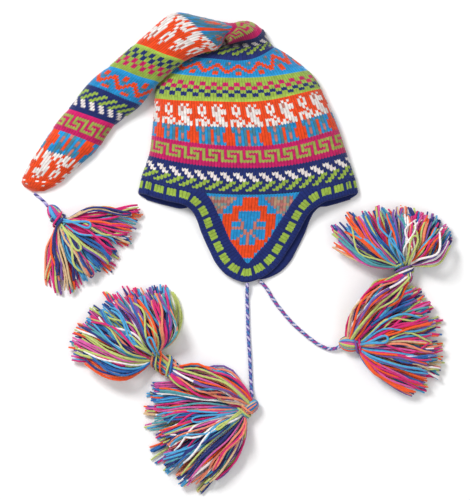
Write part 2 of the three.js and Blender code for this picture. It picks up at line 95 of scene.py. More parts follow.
def smoothAt(xs, ys, at):
    # A curve through points that are unevenly spaced: cubic pieces with slopes from the neighbours.
    xs, ys = np.asarray(xs, float), np.asarray(ys, float)
    slopes = np.gradient(ys, xs)
    at = np.clip(at, xs[0], xs[-1])
    i = np.clip(np.searchsorted(xs, at) - 1, 0, len(xs) - 2)
    width = xs[i + 1] - xs[i]
    f = (at - xs[i]) / width
    return (
        (1 + 2 * f) * (1 - f) ** 2 * ys[i]
        + f * (1 - f) ** 2 * width * slopes[i]
        + f**2 * (3 - 2 * f) * ys[i + 1]
        + f**2 * (f - 1) * width * slopes[i + 1]
    )


def unit(vectors):
    # Each vector divided by its own length.
    return vectors / np.maximum(np.linalg.norm(vectors, axis=-1, keepdims=True), 1e-9)


def circle(turn, first, second):
    # Points of an ellipse: cosine of the turn x the first direction + its sine x the second.
    return np.cos(turn)[..., None] * first + np.sin(turn)[..., None] * second


def keepAbove(points, lowest):
    # The points, lifted to the lowest height where they would lie below it.
    points[..., 2] = np.maximum(points[..., 2], lowest)
    return points


def gridQuads(lines, columns, first=0, wrap=True):
    # Quads between neighbouring lines of a grid, with the line and column that each starts at.
    across = columns if wrap else columns - 1
    line, column = np.divmod(np.arange((lines - 1) * across), across)
    beside = (column + 1) % columns
    here, there = first + line * columns, first + (line + 1) * columns
    return np.stack([here + column, there + column, there + beside, here + beside], 1), line, column


def cornerMarks(line, column, scale=(0.5, 0.5)):
    # UV marks at the corners of a grid's quads; knitting counts half stitches across and rows along.
    return np.stack([column[:, None] + [0, 0, 1, 1], line[:, None] + [0, 1, 1, 0]], -1) * scale


def fanTriangles(tip, first, count):
    # Triangles from a tip to each edge of a closed ring.
    edge = np.arange(count)
    return np.stack([tip + 0 * edge, first + edge, first + (edge + 1) % count], 1)


def stripTriangles(firstA, countA, firstB, countB):
    # Joins two closed rings of different counts: each edge of one takes the other's nearest point.
    edgeA, edgeB = np.arange(countA), np.arange(countB)
    middleA, middleB = (edgeA + 0.5) / countA, (edgeB + 0.5) / countB
    pointB = np.searchsorted(middleB, middleA, side="left") % countB
    pointA = np.searchsorted(middleA, middleB, side="right") % countA
    sideA = np.stack([firstA + edgeA, firstB + pointB, firstA + (edgeA + 1) % countA], 1)
    sideB = np.stack([firstA + pointA, firstB + edgeB, firstB + (edgeB + 1) % countB], 1)
    return np.concatenate([sideA, sideB]), np.concatenate([middleA, middleB])


def tubeFaces(rings, sides):
    # A tube's outward faces: quads between its rings, and a cap at each end with its tip after the rings.
    quads, line, column = gridQuads(rings, sides)
    near = fanTriangles(rings * sides, 0, sides)[:, [0, 2, 1]]
    far = fanTriangles(rings * sides + 1, (rings - 1) * sides, sides)
    return quads[:, ::-1], np.concatenate([near, far]), line, column


def addPiece(name, node, slot, points, quads, triangles, colours, marks, shade=None):
    # One mesh object from arrays: points in millimetres, a colour for each face, and marks at the corners
    # of the first faces. The colour of a corner is its face's, times its point's own painted shade.
    mesh = bpy.data.meshes.new(name)
    mesh.from_pydata((points * mm).tolist(), [], quads.tolist() + triangles.tolist())
    corners = np.repeat([4, 3], [len(quads), len(triangles)])
    paint = np.ones((corners.sum(), 4), np.float32)
    light = 1 if shade is None else shade[np.concatenate([quads.ravel(), triangles.ravel()])][:, None]
    paint[:, :3] = np.repeat(np.clip(colours, 0, 1), corners, axis=0) * light
    attribute = mesh.attributes.new("yarnColourAndShade", "FLOAT_COLOR", "CORNER")
    attribute.data.foreach_set("color", paint.ravel())
    allMarks = np.zeros((corners.sum(), 2), np.float32)
    allMarks[: marks.size // 2] = marks.reshape(-1, 2)
    mesh.uv_layers.new(name="yarnUv").data.foreach_set("uv", allMarks.ravel())
    mesh.polygons.foreach_set("use_smooth", np.ones(len(corners), bool))
    mesh.materials.append(materials[slot])
    mesh.update()
    piece = addToScene(name, mesh)
    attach(piece, "root")
    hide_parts(node)
    print("made", name, "with", int((corners - 2).sum()), "triangles")
    return piece


# Yarn finishes: how far each one's plies, fibres and fuzz stand out.
yarnFinish = {
    "knit": {
        "ply": 0.45, "plyScale": (2.0, 1.5), "fibre": 1400.0, "mottle": 260.0, "deep": 0.20, "sheen": 0.35,
    },
    "cord": {
        "ply": 0.50, "plyScale": (1.0, 3.0), "fibre": 1600.0, "mottle": 300.0, "deep": 0.16, "sheen": 0.25,
    },
    "tassel": {
        "ply": 0.60, "plyScale": (2.0, 1.2), "fibre": 1500.0, "mottle": 220.0, "deep": 0.18, "sheen": 0.30,
    },
    "plyAngle": 28.0,  # degrees
    "plyBump": 0.0004,  # metres
    "fibreBump": 0.0002,
    "fibreStrength": 0.35,
    "roughness": 0.88,
    "sheenRoughness": 0.45,
    "specular": 0.25,
}
yarnFinish["edging"] = {**yarnFinish["knit"], "sheen": 0.10}

# The record's material slots, each with its material's name and finish.
slotYarns = {
    "patterned_knit": ("patternedKnit", "knit"),
    "edging_knit": ("edgingKnit", "edging"),
    "flap_knit": ("flapKnit", "knit"),
    "braided_cord": ("braidedCord", "cord"),
    "twisted_cord": ("twistedCord", "cord"),
    "tassel_yarn": ("tasselYarn", "tassel"),
    "tie_yarn": ("tieYarn", "tassel"),
}


def setNode(tree, node, values, wires):
    # Gives a node its properties or socket values, and wires its inputs to other nodes' outputs.
    for name, value in values.items():
        if hasattr(node, name):
            setattr(node, name, value)
        else:
            node.inputs[name].default_value = value
    for name, (source, output) in wires.items():
        tree.links.new(source.outputs[output], node.inputs[name])
    return node


def addNode(tree, kind, values=None, wires=None):
    # A new node of a kind, set and wired.
    return setNode(tree, tree.nodes.new("ShaderNode" + kind), values or {}, wires or {})


def rangeRound(tree, source, middle, deep):
    # Noise of 0 to 1 stretched to the middle less and plus the depth.
    ends = {"To Min": middle - deep, "To Max": middle + deep}
    return addNode(tree, "MapRange", ends, {"Value": (source, "Fac")})


def newMaterial(name):
    # A material with its node tree, its shader and a node for the place on the object.
    material = bpy.data.materials.new(name)
    material.use_nodes = True
    tree = material.node_tree
    return material, tree, tree.nodes["Principled BSDF"], addNode(tree, "TexCoord")


def yarnMaterial(name, look):
    # Colour: the yarn's colour with its painted shade, from its attribute, mottled by noise. Relief: slanting
    # plies on the UV map plus fibres.
    material, tree, shader, place = newMaterial(name)
    onObject = {"Vector": (place, "Object")}
    colour = addNode(tree, "Attribute", {"attribute_name": "yarnColourAndShade"})
    mottle = addNode(tree, "TexNoise", {"Scale": look["mottle"], "Detail": 3.0}, onObject)
    shade = rangeRound(tree, mottle, 1.0, look["deep"])
    tint = addNode(
        tree, "VectorMath", {"operation": "SCALE"}, {0: (colour, "Color"), "Scale": (shade, "Result")},
    )
    weave = addNode(tree, "UVMap", {"uv_map": "yarnUv"})
    slant = (0, 0, math.radians(yarnFinish["plyAngle"]))
    turned = addNode(
        tree, "Mapping", {"Scale": (*look["plyScale"], 1.0), "Rotation": slant}, {"Vector": (weave, "UV")},
    )
    plies = addNode(tree, "TexWave", {"Scale": 1.0, "Distortion": 0.6}, {"Vector": (turned, "Vector")})
    fibres = addNode(tree, "TexNoise", {"Scale": look["fibre"], "Detail": 2.0}, onObject)
    plyBump = addNode(
        tree, "Bump", {"Strength": look["ply"], "Distance": yarnFinish["plyBump"]},
        {"Height": (plies, "Color")},
    )
    fibreBump = addNode(
        tree, "Bump", {"Strength": yarnFinish["fibreStrength"], "Distance": yarnFinish["fibreBump"]},
        {"Height": (fibres, "Fac"), "Normal": (plyBump, "Normal")},
    )
    sockets = {
        "Roughness": yarnFinish["roughness"], "Sheen Weight": look["sheen"],
        "Sheen Roughness": yarnFinish["sheenRoughness"], "Specular IOR Level": yarnFinish["specular"],
    }
    setNode(tree, shader, sockets, {"Base Color": (tint, "Vector"), "Normal": (fibreBump, "Normal")})
    return material


materials = {slot: yarnMaterial(name, yarnFinish[finish]) for slot, (name, finish) in slotYarns.items()}
print("materials made")

# Free cords, as routes in millimetres over the surface they lie on.
cordLook = {
    "sides": 16,
    "step": 0.9,  # millimetres between rings
    "groove": 0.20,  # depth of the grooves between strands, as a share of the radius
    "endSize": 0.6,  # size of the first and the last ring
    "left": {
        "route": [
            (-0.9, -171.8, 7.5), (-0.9, -180, 6), (-1.1, -186, 3.8), (-1, -192, 2.6), (-0.6, -202.8, 2.5),
            (-0.4, -212.4, 2.5), (0.1, -228, 2.5), (0.6, -238, 2.5), (1.4, -249.6, 2.5), (2.1, -260, 2.5),
            (2.6, -271.2, 2.5), (3.1, -282, 2.5), (3.6, -294, 2.5), (4.3, -302, 3.6), (4.8, -309, 6.4),
        ],
        "radius": 2.3,
        "turn": 13.0,  # millimetres in which a strand goes once round
        "colours": [(112, 92, 172), (206, 198, 228), (60, 66, 146), (72, 128, 188)],
    },
    "right": {
        "route": [
            (14.2, -169.1, 2.5), (17.8, -172.8, 2.5), (22.3, -178, 2.5), (26.2, -184.4, 2.5),
            (30.4, -191.4, 2.5), (34.6, -197.6, 2.5), (39.4, -203.6, 2.5), (45.6, -211.4, 2.5),
            (52.3, -218.9, 2.5), (58.8, -225.2, 2.5), (65.6, -231, 2.5), (71.6, -236.2, 2.5),
            (77.9, -241, 2.5), (83.2, -244.8, 2.5), (88.9, -247.9, 2.5), (94.4, -250.2, 2.7),
            (99.4, -251.2, 3.6), (104, -250.6, 5), (110.9, -248, 7.1),
        ],
        "radius": 2.3,
        "turn": 13.0,
        "colours": [(62, 128, 186), (206, 198, 222), (96, 62, 140), (168, 72, 150)],
    },
    "tail": {
        "route": [
            (-257.4, -63.9, 3.2), (-255.8, -65.2, 2.7), (-253.8, -66.6, 2.3), (-251.4, -68.4, 2.1),
            (-249, -70.4, 2.1), (-246.8, -72.4, 2.3), (-244.8, -74.5, 2.9), (-242.6, -77.2, 3.9),
            (-239.5, -80.8, 6), (-236, -84.4, 8), (-233.5, -87.2, 9),
        ],
        "radius": 1.8,
        "turn": 11.0,
        "colours": [(150, 140, 205), (45, 50, 120), (190, 185, 225)],
    },
}


def evenPath(route, step):
    # A smooth curve through the route's points, cut into equal lengths.
    fine = smoothRows(route, np.linspace(0, len(route) - 1, 40 * len(route)))
    run = np.append(0, np.cumsum(np.linalg.norm(np.diff(fine, axis=0), axis=1)))
    at = np.linspace(0, run[-1], int(run[-1] / step) + 1)
    return np.stack([np.interp(at, run, values) for values in fine.T], 1), run[-1]


def pathWays(path):
    # Directions along a path: forward, and level to its left.
    forward = unit(np.gradient(path, axis=0))
    return forward, unit(np.stack([-forward[:, 1], forward[:, 0], np.zeros(len(path))], 1))


def addCord(name, node, key, braided):
    # A tube whose radius swells over each strand; strands wind both ways when braided, else one way.
    look, sides = cordLook[key], cordLook["sides"]
    palette = linear(look["colours"])
    strands = len(palette)
    path, length = evenPath(look["route"], cordLook["step"])
    forward, level = pathWays(path)
    around = np.arange(sides) / sides
    along = np.linspace(0, length, len(path)) / look["turn"]
    ridges = [np.abs(np.sin(np.pi * strands * (around + way * along[:, None]))) for way in (1, -1)]
    ridge = np.minimum(*ridges) if braided else ridges[0]
    radius = look["radius"] * (1 - cordLook["groove"] * (1 - ridge))
    radius[[0, -1]] *= cordLook["endSize"]
    points = path[:, None] + radius[..., None] * circle(
        around * 2 * np.pi, level[:, None], np.cross(forward, level)[:, None]
    )
    points = keepAbove(points, 0.15).reshape(-1, 3)
    quads, caps, line, column = tubeFaces(len(path), sides)
    middle = (column + 0.5) / sides
    strandA, strandB = [np.floor((middle + way * along[line]) * strands).astype(int) for way in (1, -1)]
    strand = np.where((strandA + strandB) % 2 == 0, strandA, strandB + 1) if braided else strandA
    piece = addPiece(
        name, node, "braided_cord" if braided else "twisted_cord",
        np.concatenate([points, path[:1], path[-1:]]), quads, caps,
        np.concatenate([palette[strand % strands], np.repeat(palette[:1], len(caps), axis=0)]),
        cornerMarks(line, column, (1 / sides, 0.25))[:, ::-1],
    )
    return piece, path * mm, length * mm


leftCord, leftPath, leftLength = addCord("leftFlapCord", "left_flap_cord", "left", braided=True)
rightCord, rightPath, rightLength = addCord("rightFlapCord", "right_flap_cord", "right", braided=True)
tailCord, tailPath, tailLength = addCord("tailCord", "tail_cord", "tail", braided=False)
print("cord lengths in metres:", round(leftLength, 4), round(rightLength, 4), round(tailLength, 4))

# The knitted tube: near end x, y, far end x, y, lift, height and bow of each course, in millimetres.
tubeShape = {
    "sections": [
        (-128, -65.6, 128, -65.6, 0, 22, 21),
        (-118, -31, 118, -31, 0, 30, 15),
        (-114.6, -1.8, 109, -1.8, 0, 34, 13),
        (-112.8, 22.8, 100, 22.8, 0, 36, 11),
        (-111.6, 47.4, 89.5, 47.4, 0, 36, 9),
        (-108, 61, 83.5, 61, 0, 35, 8),
        (-99, 76.8, 72, 76.8, 0, 31, 7),
        (-75, 97.8, 47.5, 97.8, 0, 27, 5),
        (-50, 109.8, 31, 109.8, 0, 24.5, 3),
        (-28.8, 113.4, 24, 120, 0, 23, 0),
        (-26.4, 115.8, 16.8, 134.4, 1, 22, 0),
        (-25.2, 117.6, 2.4, 141.6, 2.5, 21, 0),
        (-25.8, 119.4, -9.6, 141.8, 5, 18, 0),
        (-28.2, 120.6, -21, 139.2, 9, 14, 0),
        (-30, 116.5, -36, 141.6, 14, 16, 0),
        (-33.5, 111.5, -57.6, 146.4, 21, 18, 0),
        (-42, 106, -85.2, 151, 25, 19, 0),
        (-57.6, 102.6, -109.2, 136.8, 26, 19, 0),
        (-75, 94.2, -129, 118.8, 24.5, 19, 0),
        (-108, 67.2, -163.4, 90, 17, 19, 0),
        (-130.2, 40.8, -189.2, 69, 6, 19, 0),
        (-160.8, 18.6, -216, 37.8, 0, 19, 0),
        (-178.8, -6.6, -234, 15, 0, 18, 0),
        (-192, -20.4, -248.4, -7.2, 0, 17, 0),
        (-211.8, -38.4, -264, -31.8, 0, 15, 0),
        (-229.2, -52.8, -271.8, -48, 0, 12, 0),
        (-247.2, -61.2, -268.8, -56.4, 0, 7, 0),
    ],
    "bowPower": 2.4,  # how the bow grows across the tube
    "bulge": 0.22,  # height of the widest place, as a share of the section's height
    "roundness": 2.4,
    "soleEdge": (1.6, 4, 0.25),  # scale and powers of the flat sole's rounded edge
    "wall": 2.8,
    "tip": (-1.5, -3.0, 0.0),  # how far the closed end stands beyond the last course
    "linesPerSection": 24,
    "columns": 480,
    "lining": (46, 64),  # lines and columns of the inner wall
    "liningEnd": 25,  # the course at which the inner wall closes
}

# Knitting charts, the top row first. Every one is repeated round its band. Letters are knitLook's colours.
stitchCharts = {
    "arrows": [
        "NNNN", "NNNN", "WWNN", "NWWN", "NNWW", "GNNG", "NNGG", "NGGN", "GGNN", "NNNN", "NNNN",
    ],
    "key": [
        "MMMMMM", "MMMMMM", "LMLLLL", "LMLMMM", "LMLLLM", "LMMMLM", "LLLLLM", "MMMMMM", "MMMMMM",
    ],
    "figures": [
        "OOOOOOOOOOOO", "OOWOOOOWOWOO", "OWOWOOWSWOOO", "OWOWOOWSWWWO", "OWWWOOWWWWWO", "OOWOOOWWWOOO",
        "OOOWOOOWWWOO", "WWWOWOOWWWOO", "WOWWWOWOWWWO", "WOWWOWWWSWWO",
    ],
    "legs": [
        "OBTSTBTBTBBO", "OTBSBTOTTBBO", "OOBTBTOBTBOO", "OOBSBTOBSBOO", "OOBSBTOBSBOO", "OOBTBTSBTBBO",
    ],
    "blocks": [
        "OBTTBTBTTBBO", "OTTBTTTBTTBO", "OBTTSOTSTTBO", "OTBTOOSTTBTO", "OBTSTOTTSBTO", "OTBTBTTBTTBO",
    ],
    "checks": [
        "GGGG", "GGGG", "MMGG", "MMGG", "GGMM", "GGMM", "NNGG", "NNGG", "GGNN", "GGNN", "GGGG", "GGGG",
    ],
    "zigzag": [
        "BBBBBBBB", "SBBBBBBT", "TBBOOBBT", "BBOOOOBB", "BOOBBOOB", "OOBTTBOO", "OBBOOBBO", "BBBOOBBB",
        "BBBBBBBB", "BBBBBBBB",
    ],
    "waves": [
        "BBBBBBBB", "OOBBBBBO", "TBBOOBBT", "BBOOOOBB", "BOOBBOOB", "OOBTTBOO", "OBBOOBBO", "BBBOOBBB",
        "BBBBBBBB", "BBBBBBBB",
    ],
    "tip": ["OOOOOO", "OOOOOO", "OOOOOO", "OOOOOO", "OOOWOO", "OOOOOO", "OOOOOO", "WOOOWO"],
}

# Where each band ends, as courses of the tube at the near side, the middle and the far side.
bandEnds = [
    (0, 0, 0), (0.93, 0.92, 1.07), (1.80, 1.77, 2.11), (2.52, 2.67, 3.02), (3.69, 3.84, 4.35),
    (5.85, 5.80, 6.0), (6.85, 6.80, 7.9), (9.0, 9.3, 10.0), (14.5, 12.6, 13.9), (15.4, 15.9, 16.15),
    (18.05, 18.14, 18.17), (18.96, 19.05, 19.09), (20.0, 20.06, 20.12), (21, 21, 21), (22, 22, 22.03),
    (23.5, 23.25, 23.1), (24.9, 24.9, 24.9), (26, 26, 26),
]

# Bands from the rim to the tip: chart, stitches round, and how far its repeat is moved.
knitBands = [
    ("arrows", 132, 2), ("key", 132, 0), ("legs", 132, 3), ("figures", 132, 2), ("checks", 120, 0),
    ("zigzag", 104, -2), ("arrows", 56, 0), ("key", 48, 0), ("blocks", 48, 0), ("figures", 48, 0),
    ("checks", 52, 0), ("waves", 48, 0), ("arrows", 48, 0), ("key", 42, 0), ("legs", 36, 3),
    ("figures", 36, 3), ("tip", 24, 0),
]

knitLook = {
    "slant": 0.5,  # how far a stitch's middle hangs below its sides, as a share of its row
    "crest": 0.9,  # millimetres from the ground to the top of a stitch's leg
    "legStart": 0.55,  # the leg's height between two rows, as a share of the crest
    "dips": (-0.10, -0.45),  # the same at a stitch's middle and beside it
    "grooveShade": 0.42,  # how much painted shade darkens the grooves between stitches
    "middleGrooveShade": 0.35,  # the same in a stitch's middle, as a share of that
    "rowGrooveShade": 0.18,  # and between two rows
    "legHighlight": 0.06,  # how much painted highlight lightens the legs
    "colours": {
        "N": (30, 46, 114), "M": (205, 23, 102), "G": (161, 190, 77), "O": (244, 76, 22),
        "B": (32, 148, 212), "W": (246, 236, 232), "T": (76, 132, 152), "S": (204, 124, 110),
        "L": (167, 178, 82), "X": (120, 110, 110),  # X gives way to one of the mixed colours
    },
    "mixed": [(176, 112, 104), (120, 150, 150), (206, 128, 120), (188, 152, 124)],
    "wrongSide": (70, 62, 92),
    "uneven": 0.07,  # how much one stitch's tone differs from the next
    "liningUneven": 0.25,
    "liningTones": (0.4, 1.8),  # darkest and lightest tone of the inner wall
    "seed": 11,
}

# The fold where the tail turns over: places in courses along the tube, and as shares of a turn round it.
foldLook = {
    "pucker": 1.3,  # millimetres of gathering
    "puckerAt": 12.3,
    "puckerReach": 2.0,
    "gathers": 9,  # how many there are round the tube
    "gatherTwist": 0.35,  # turns by which they wind for each course
    "wave": 0.7,  # millimetres of the slow waves down the tail
    "wavesFrom": 14,
    "waveBeat": 2.6,  # how fast they follow each other
    "dark": 0.92,  # how much painted shade darkens the cloth deep in the fold
    "side": 0.36,  # where round the tube the shadow is deepest
    "shadows": [(8.6, 1.3, 0.24, 1.0), (10.1, 1.2, 0.20, 0.30)],  # middle, reach along, reach round, strength
}
letters = "".join(knitLook["colours"])
letterColours = linear(knitLook["colours"].values())
mixedColours = linear(knitLook["mixed"])
draw = np.random.default_rng(knitLook["seed"])


def chartArray(rows):
    # The chart's letters as their places in the list of colours, one line of numbers a row.
    return np.array([[letters.index(stitch) for stitch in row] for row in rows])


def stitchColours(codes):
    # A colour for every stitch: its letter's, or a drawn one where the letter is mixed, slightly uneven.
    colours = letterColours[codes]
    mixed = codes == letters.index("X")
    colours[mixed] = mixedColours[draw.integers(0, len(mixedColours), int(mixed.sum()))]
    tone = 1 + knitLook["uneven"] * draw.standard_normal(codes.shape)
    return np.clip(colours * tone[..., None], 0, 1)


def domeRise(across, height):
    # A flattened dome over a section: it starts where the section is widest and is full in the middle.
    start, bend = tubeShape["bulge"] * height, tubeShape["roundness"]
    return start + (height - start) * np.maximum(1 - np.abs(across) ** bend, 0) ** (1 / bend)


def sectionPoints(sections, turn, inset):
    # Across a section x runs as the turn's cosine; the top is a flattened dome, the underside a flat sole.
    nearX, nearY, farX, farY, lift, height, bow = sections.T[..., None]
    halfWidth = np.hypot(farX - nearX, farY - nearY) / 2
    across = np.cos(turn)
    reach = (1 + across * (halfWidth - inset) / halfWidth) / 2
    inner = height - 2 * inset
    scale, power, root = tubeShape["soleEdge"]
    sole = np.minimum(1, scale * np.maximum(1 - across**power, 0) ** root)
    rise = np.where(np.sin(turn) >= 0, domeRise(across, inner), tubeShape["bulge"] * inner * (1 - sole))
    x = nearX + (farX - nearX) * reach
    y = nearY + (farY - nearY) * reach + bow * np.abs(across) ** tubeShape["bowPower"]
    return np.stack([x, y, lift + inset + rise], -1)


def tubeTable(inset):
    # The tube on a fine grid: lines along its length, columns at equal lengths round each line, and the
    # outward direction at each point.
    sections = np.array(tubeShape["sections"], float)
    lines = tubeShape["linesPerSection"] * (len(sections) - 1) + 1
    rows = smoothRows(sections, np.linspace(0, len(sections) - 1, lines))
    rows[:, 4] = np.maximum(rows[:, 4], 0)
    turn = np.linspace(0, 2 * np.pi, 721)[None, :].repeat(lines, 0)
    rough = sectionPoints(rows, turn, inset)
    run = np.cumsum(np.linalg.norm(np.diff(rough, axis=1), axis=2), axis=1)
    run = np.concatenate([np.zeros((lines, 1)), run], 1)
    even = np.arange(tubeShape["columns"]) / tubeShape["columns"]
    turns = np.stack([np.interp(even * run[i, -1], run[i], turn[i]) for i in range(lines)])
    points = keepAbove(sectionPoints(rows, turns, inset), 0.1)
    ahead = unit(np.stack([rows[:, 1] - rows[:, 3], rows[:, 2] - rows[:, 0], np.zeros(lines)], 1))
    beside = np.roll(points, -1, axis=1) - np.roll(points, 1, axis=1)
    return points, unit(np.cross(ahead[:, None], beside))


def fromTable(table, at, share):
    # A value between the grid's lines and columns, blended in both directions.
    lines, columns = table.shape[:2]
    line = np.clip(at * tubeShape["linesPerSection"], 0, lines - 1.001)
    column = (share % 1) * columns
    i, j = line.astype(int), column.astype(int) % columns
    f, g = (line - i)[..., None], (column - np.floor(column))[..., None]
    k = (j + 1) % columns
    near = table[i, j] * (1 - g) + table[i, k] * g
    far = table[i + 1, j] * (1 - g) + table[i + 1, k] * g
    return near * (1 - f) + far * f


def stitchRelief(line, column):
    # Height of the fabric at quarter-stitch columns and half-row lines: crests down the legs, dips between.
    leg = np.where(line % 2 == 1, 1.0, knitLook["legStart"])
    dip = np.where(column % 4 == 2, *knitLook["dips"])
    return knitLook["crest"] * np.where(column % 2 == 1, leg, dip)


def stitchShade(line, column):
    # Painted light and shade on a stitch: bright on its legs, less in its middle, least in the groove beside
    # it.
    groove = np.where(column % 2 == 1, 0.0, np.where(column % 4 == 2, knitLook["middleGrooveShade"], 1.0))
    border = np.where(line % 2 == 0, knitLook["rowGrooveShade"], 0.0)
    return 1.0 - knitLook["grooveShade"] * np.maximum(groove, border) + knitLook["legHighlight"] * (1 - groove)


def stitchSag(column):
    # How far a row's line hangs towards the cast-on edge: nothing at a stitch's sides, most at its middle.
    return knitLook["slant"] * (1 - np.abs((column % 4) / 2 - 1))


def courseAt(ends, across):
    # A band's end round the tube: a cubic through its near, middle and far values, level at the middle.
    near, middle, far = ends
    return middle + (far - near) / 2 * across**3 + ((far + near) / 2 - middle) * across**2


def knitBlocks():
    # Runs of bands with one count of stitches: where each half-row line lies, and the stitches' colours.
    # A later block leaves its first row to the strip of triangles that joins it to the one before.
    blocks = []
    for number, (chart, stitches, phase) in enumerate(knitBands):
        codes = chartArray(stitchCharts[chart])
        rows = len(codes)
        colours = stitchColours(codes[::-1][:, (phase - 1 - np.arange(stitches)) % codes.shape[1]])
        skip = 1
        if not blocks or blocks[-1]["stitches"] != stitches:
            skip = 2 if blocks else 0
            blocks.append({"stitches": stitches, "at": [], "row": [], "paint": [], "first": colours[0]})
            colours = colours[skip // 2:]
        across = np.cos(np.arange(4 * stitches) / (4 * stitches) * 2 * np.pi)
        start, end = courseAt(bandEnds[number], across), courseAt(bandEnds[number + 1], across)
        steps = np.arange(skip, 2 * rows + 1)[:, None]
        blocks[-1]["at"].append(start + (end - start) * steps / (2 * rows))
        blocks[-1]["row"].append((end - start) / rows + 0 * steps)
        blocks[-1]["paint"].append(colours)
    return blocks


def foldPucker(at, share):
    # Gathers where the tail folds over, and slow waves down the tail: sines round and along the tube.
    bell = np.exp(-(((at - foldLook["puckerAt"]) / foldLook["puckerReach"]) ** 2))
    gather = bell * np.sin(2 * np.pi * (foldLook["gathers"] * share + foldLook["gatherTwist"] * at))
    waves = np.sin(foldLook["waveBeat"] * at + 2 * np.pi * share) * np.sin(4 * np.pi * share + at)
    begin = np.clip((at - foldLook["wavesFrom"]) / 2, 0, 1)
    return foldLook["pucker"] * gather + foldLook["wave"] * waves * begin


def foldShade(at, share):
    # Less light under the tail: bell curves along the tube and round it, at the fold's inner side.
    away = np.abs((share - foldLook["side"] + 0.5) % 1 - 0.5)
    dark = 0
    for middle, along, around, strength in foldLook["shadows"]:
        dark = dark + strength * np.exp(-(((at - middle) / along) ** 2)) * np.exp(-((away / around) ** 2))
    return 1 - foldLook["dark"] * np.minimum(1, dark)


def crownKnit():
    # The inner wall from the closed end back to the rim, then the outer skin block by block to the tip.
    # A strip of triangles joins two blocks, because the count of stitches changes there.
    outer, outward = tubeTable(0)
    inner, _ = tubeTable(tubeShape["wall"])
    lines, columns = tubeShape["lining"]
    dull = linear(knitLook["wrongSide"])
    at = np.linspace(tubeShape["liningEnd"], 0, lines)[:, None]
    lining = fromTable(inner, at, np.arange(columns) / columns)
    faces, line, column = gridQuads(lines, columns, 1)
    uneven = 1 + knitLook["liningUneven"] * draw.standard_normal((len(faces), 1))
    points, shades = [lining[0].mean(0, keepdims=True), lining.reshape(-1, 3)], [np.ones(1 + lines * columns)]
    quads, quadMarks = [faces], [cornerMarks(line, column)]
    quadColours = [dull * uneven.clip(*knitLook["liningTones"])]
    triangles, triColours = [fanTriangles(0, 1, columns)], [np.tile(dull, (columns, 1))]
    ring, total = (1 + (lines - 1) * columns, columns), 1 + lines * columns
    for block in knitBlocks():
        stitches, count = block["stitches"], 4 * block["stitches"]
        at, row, paint = [np.concatenate(block[part]) for part in ("at", "row", "paint")]
        lines = len(at)
        column, line = np.arange(count), np.arange(lines)[:, None]
        fade = np.ones((lines, 1))
        fade[[0, 1, -1], 0] = 0, 0.5, 0
        share = column / count
        hung = at - stitchSag(column) * row * fade
        relief = stitchRelief(line, column) * fade + foldPucker(hung, share)
        place = fromTable(outer, hung, share) + fromTable(outward, hung, share) * relief[..., None]
        points.append(keepAbove(place, 0.1).reshape(-1, 3))
        # Painted light and shade: darker grooves and lighter legs of the stitches, and the shade under the
        # tail's fold.
        shades.append((stitchShade(line, column) * foldShade(at, share)).ravel())
        strip, middle = stripTriangles(*ring, total, count)
        triangles.append(strip)
        triColours.append(block["first"][(middle * stitches).astype(int) % stitches])
        faces, line, column = gridQuads(lines, count, total)
        quads.append(faces)
        quadColours.append(paint[np.minimum(line // 2, len(paint) - 1), column // 4])
        quadMarks.append(cornerMarks(line, column))
        ring, total = (total + (lines - 1) * count, count), total + lines * count
    points.append(points[-1][-ring[1]:].mean(0, keepdims=True) + tubeShape["tip"])
    shades.append(np.ones(1))
    triangles.append(fanTriangles(total, *ring)[:, [1, 0, 2]])
    triColours.append(np.tile(letterColours[letters.index("O")], (ring[1], 1)))
    colours = quadColours + triColours
    points, quads, triangles, colours, marks, shades = [
        np.concatenate(parts) for parts in (points, quads, triangles, colours, quadMarks, shades)
    ]
    addPiece(
        "crownAndTail", "crown_and_tail", "patterned_knit", points, quads, triangles, colours, marks, shades,
    )


crownKnit()

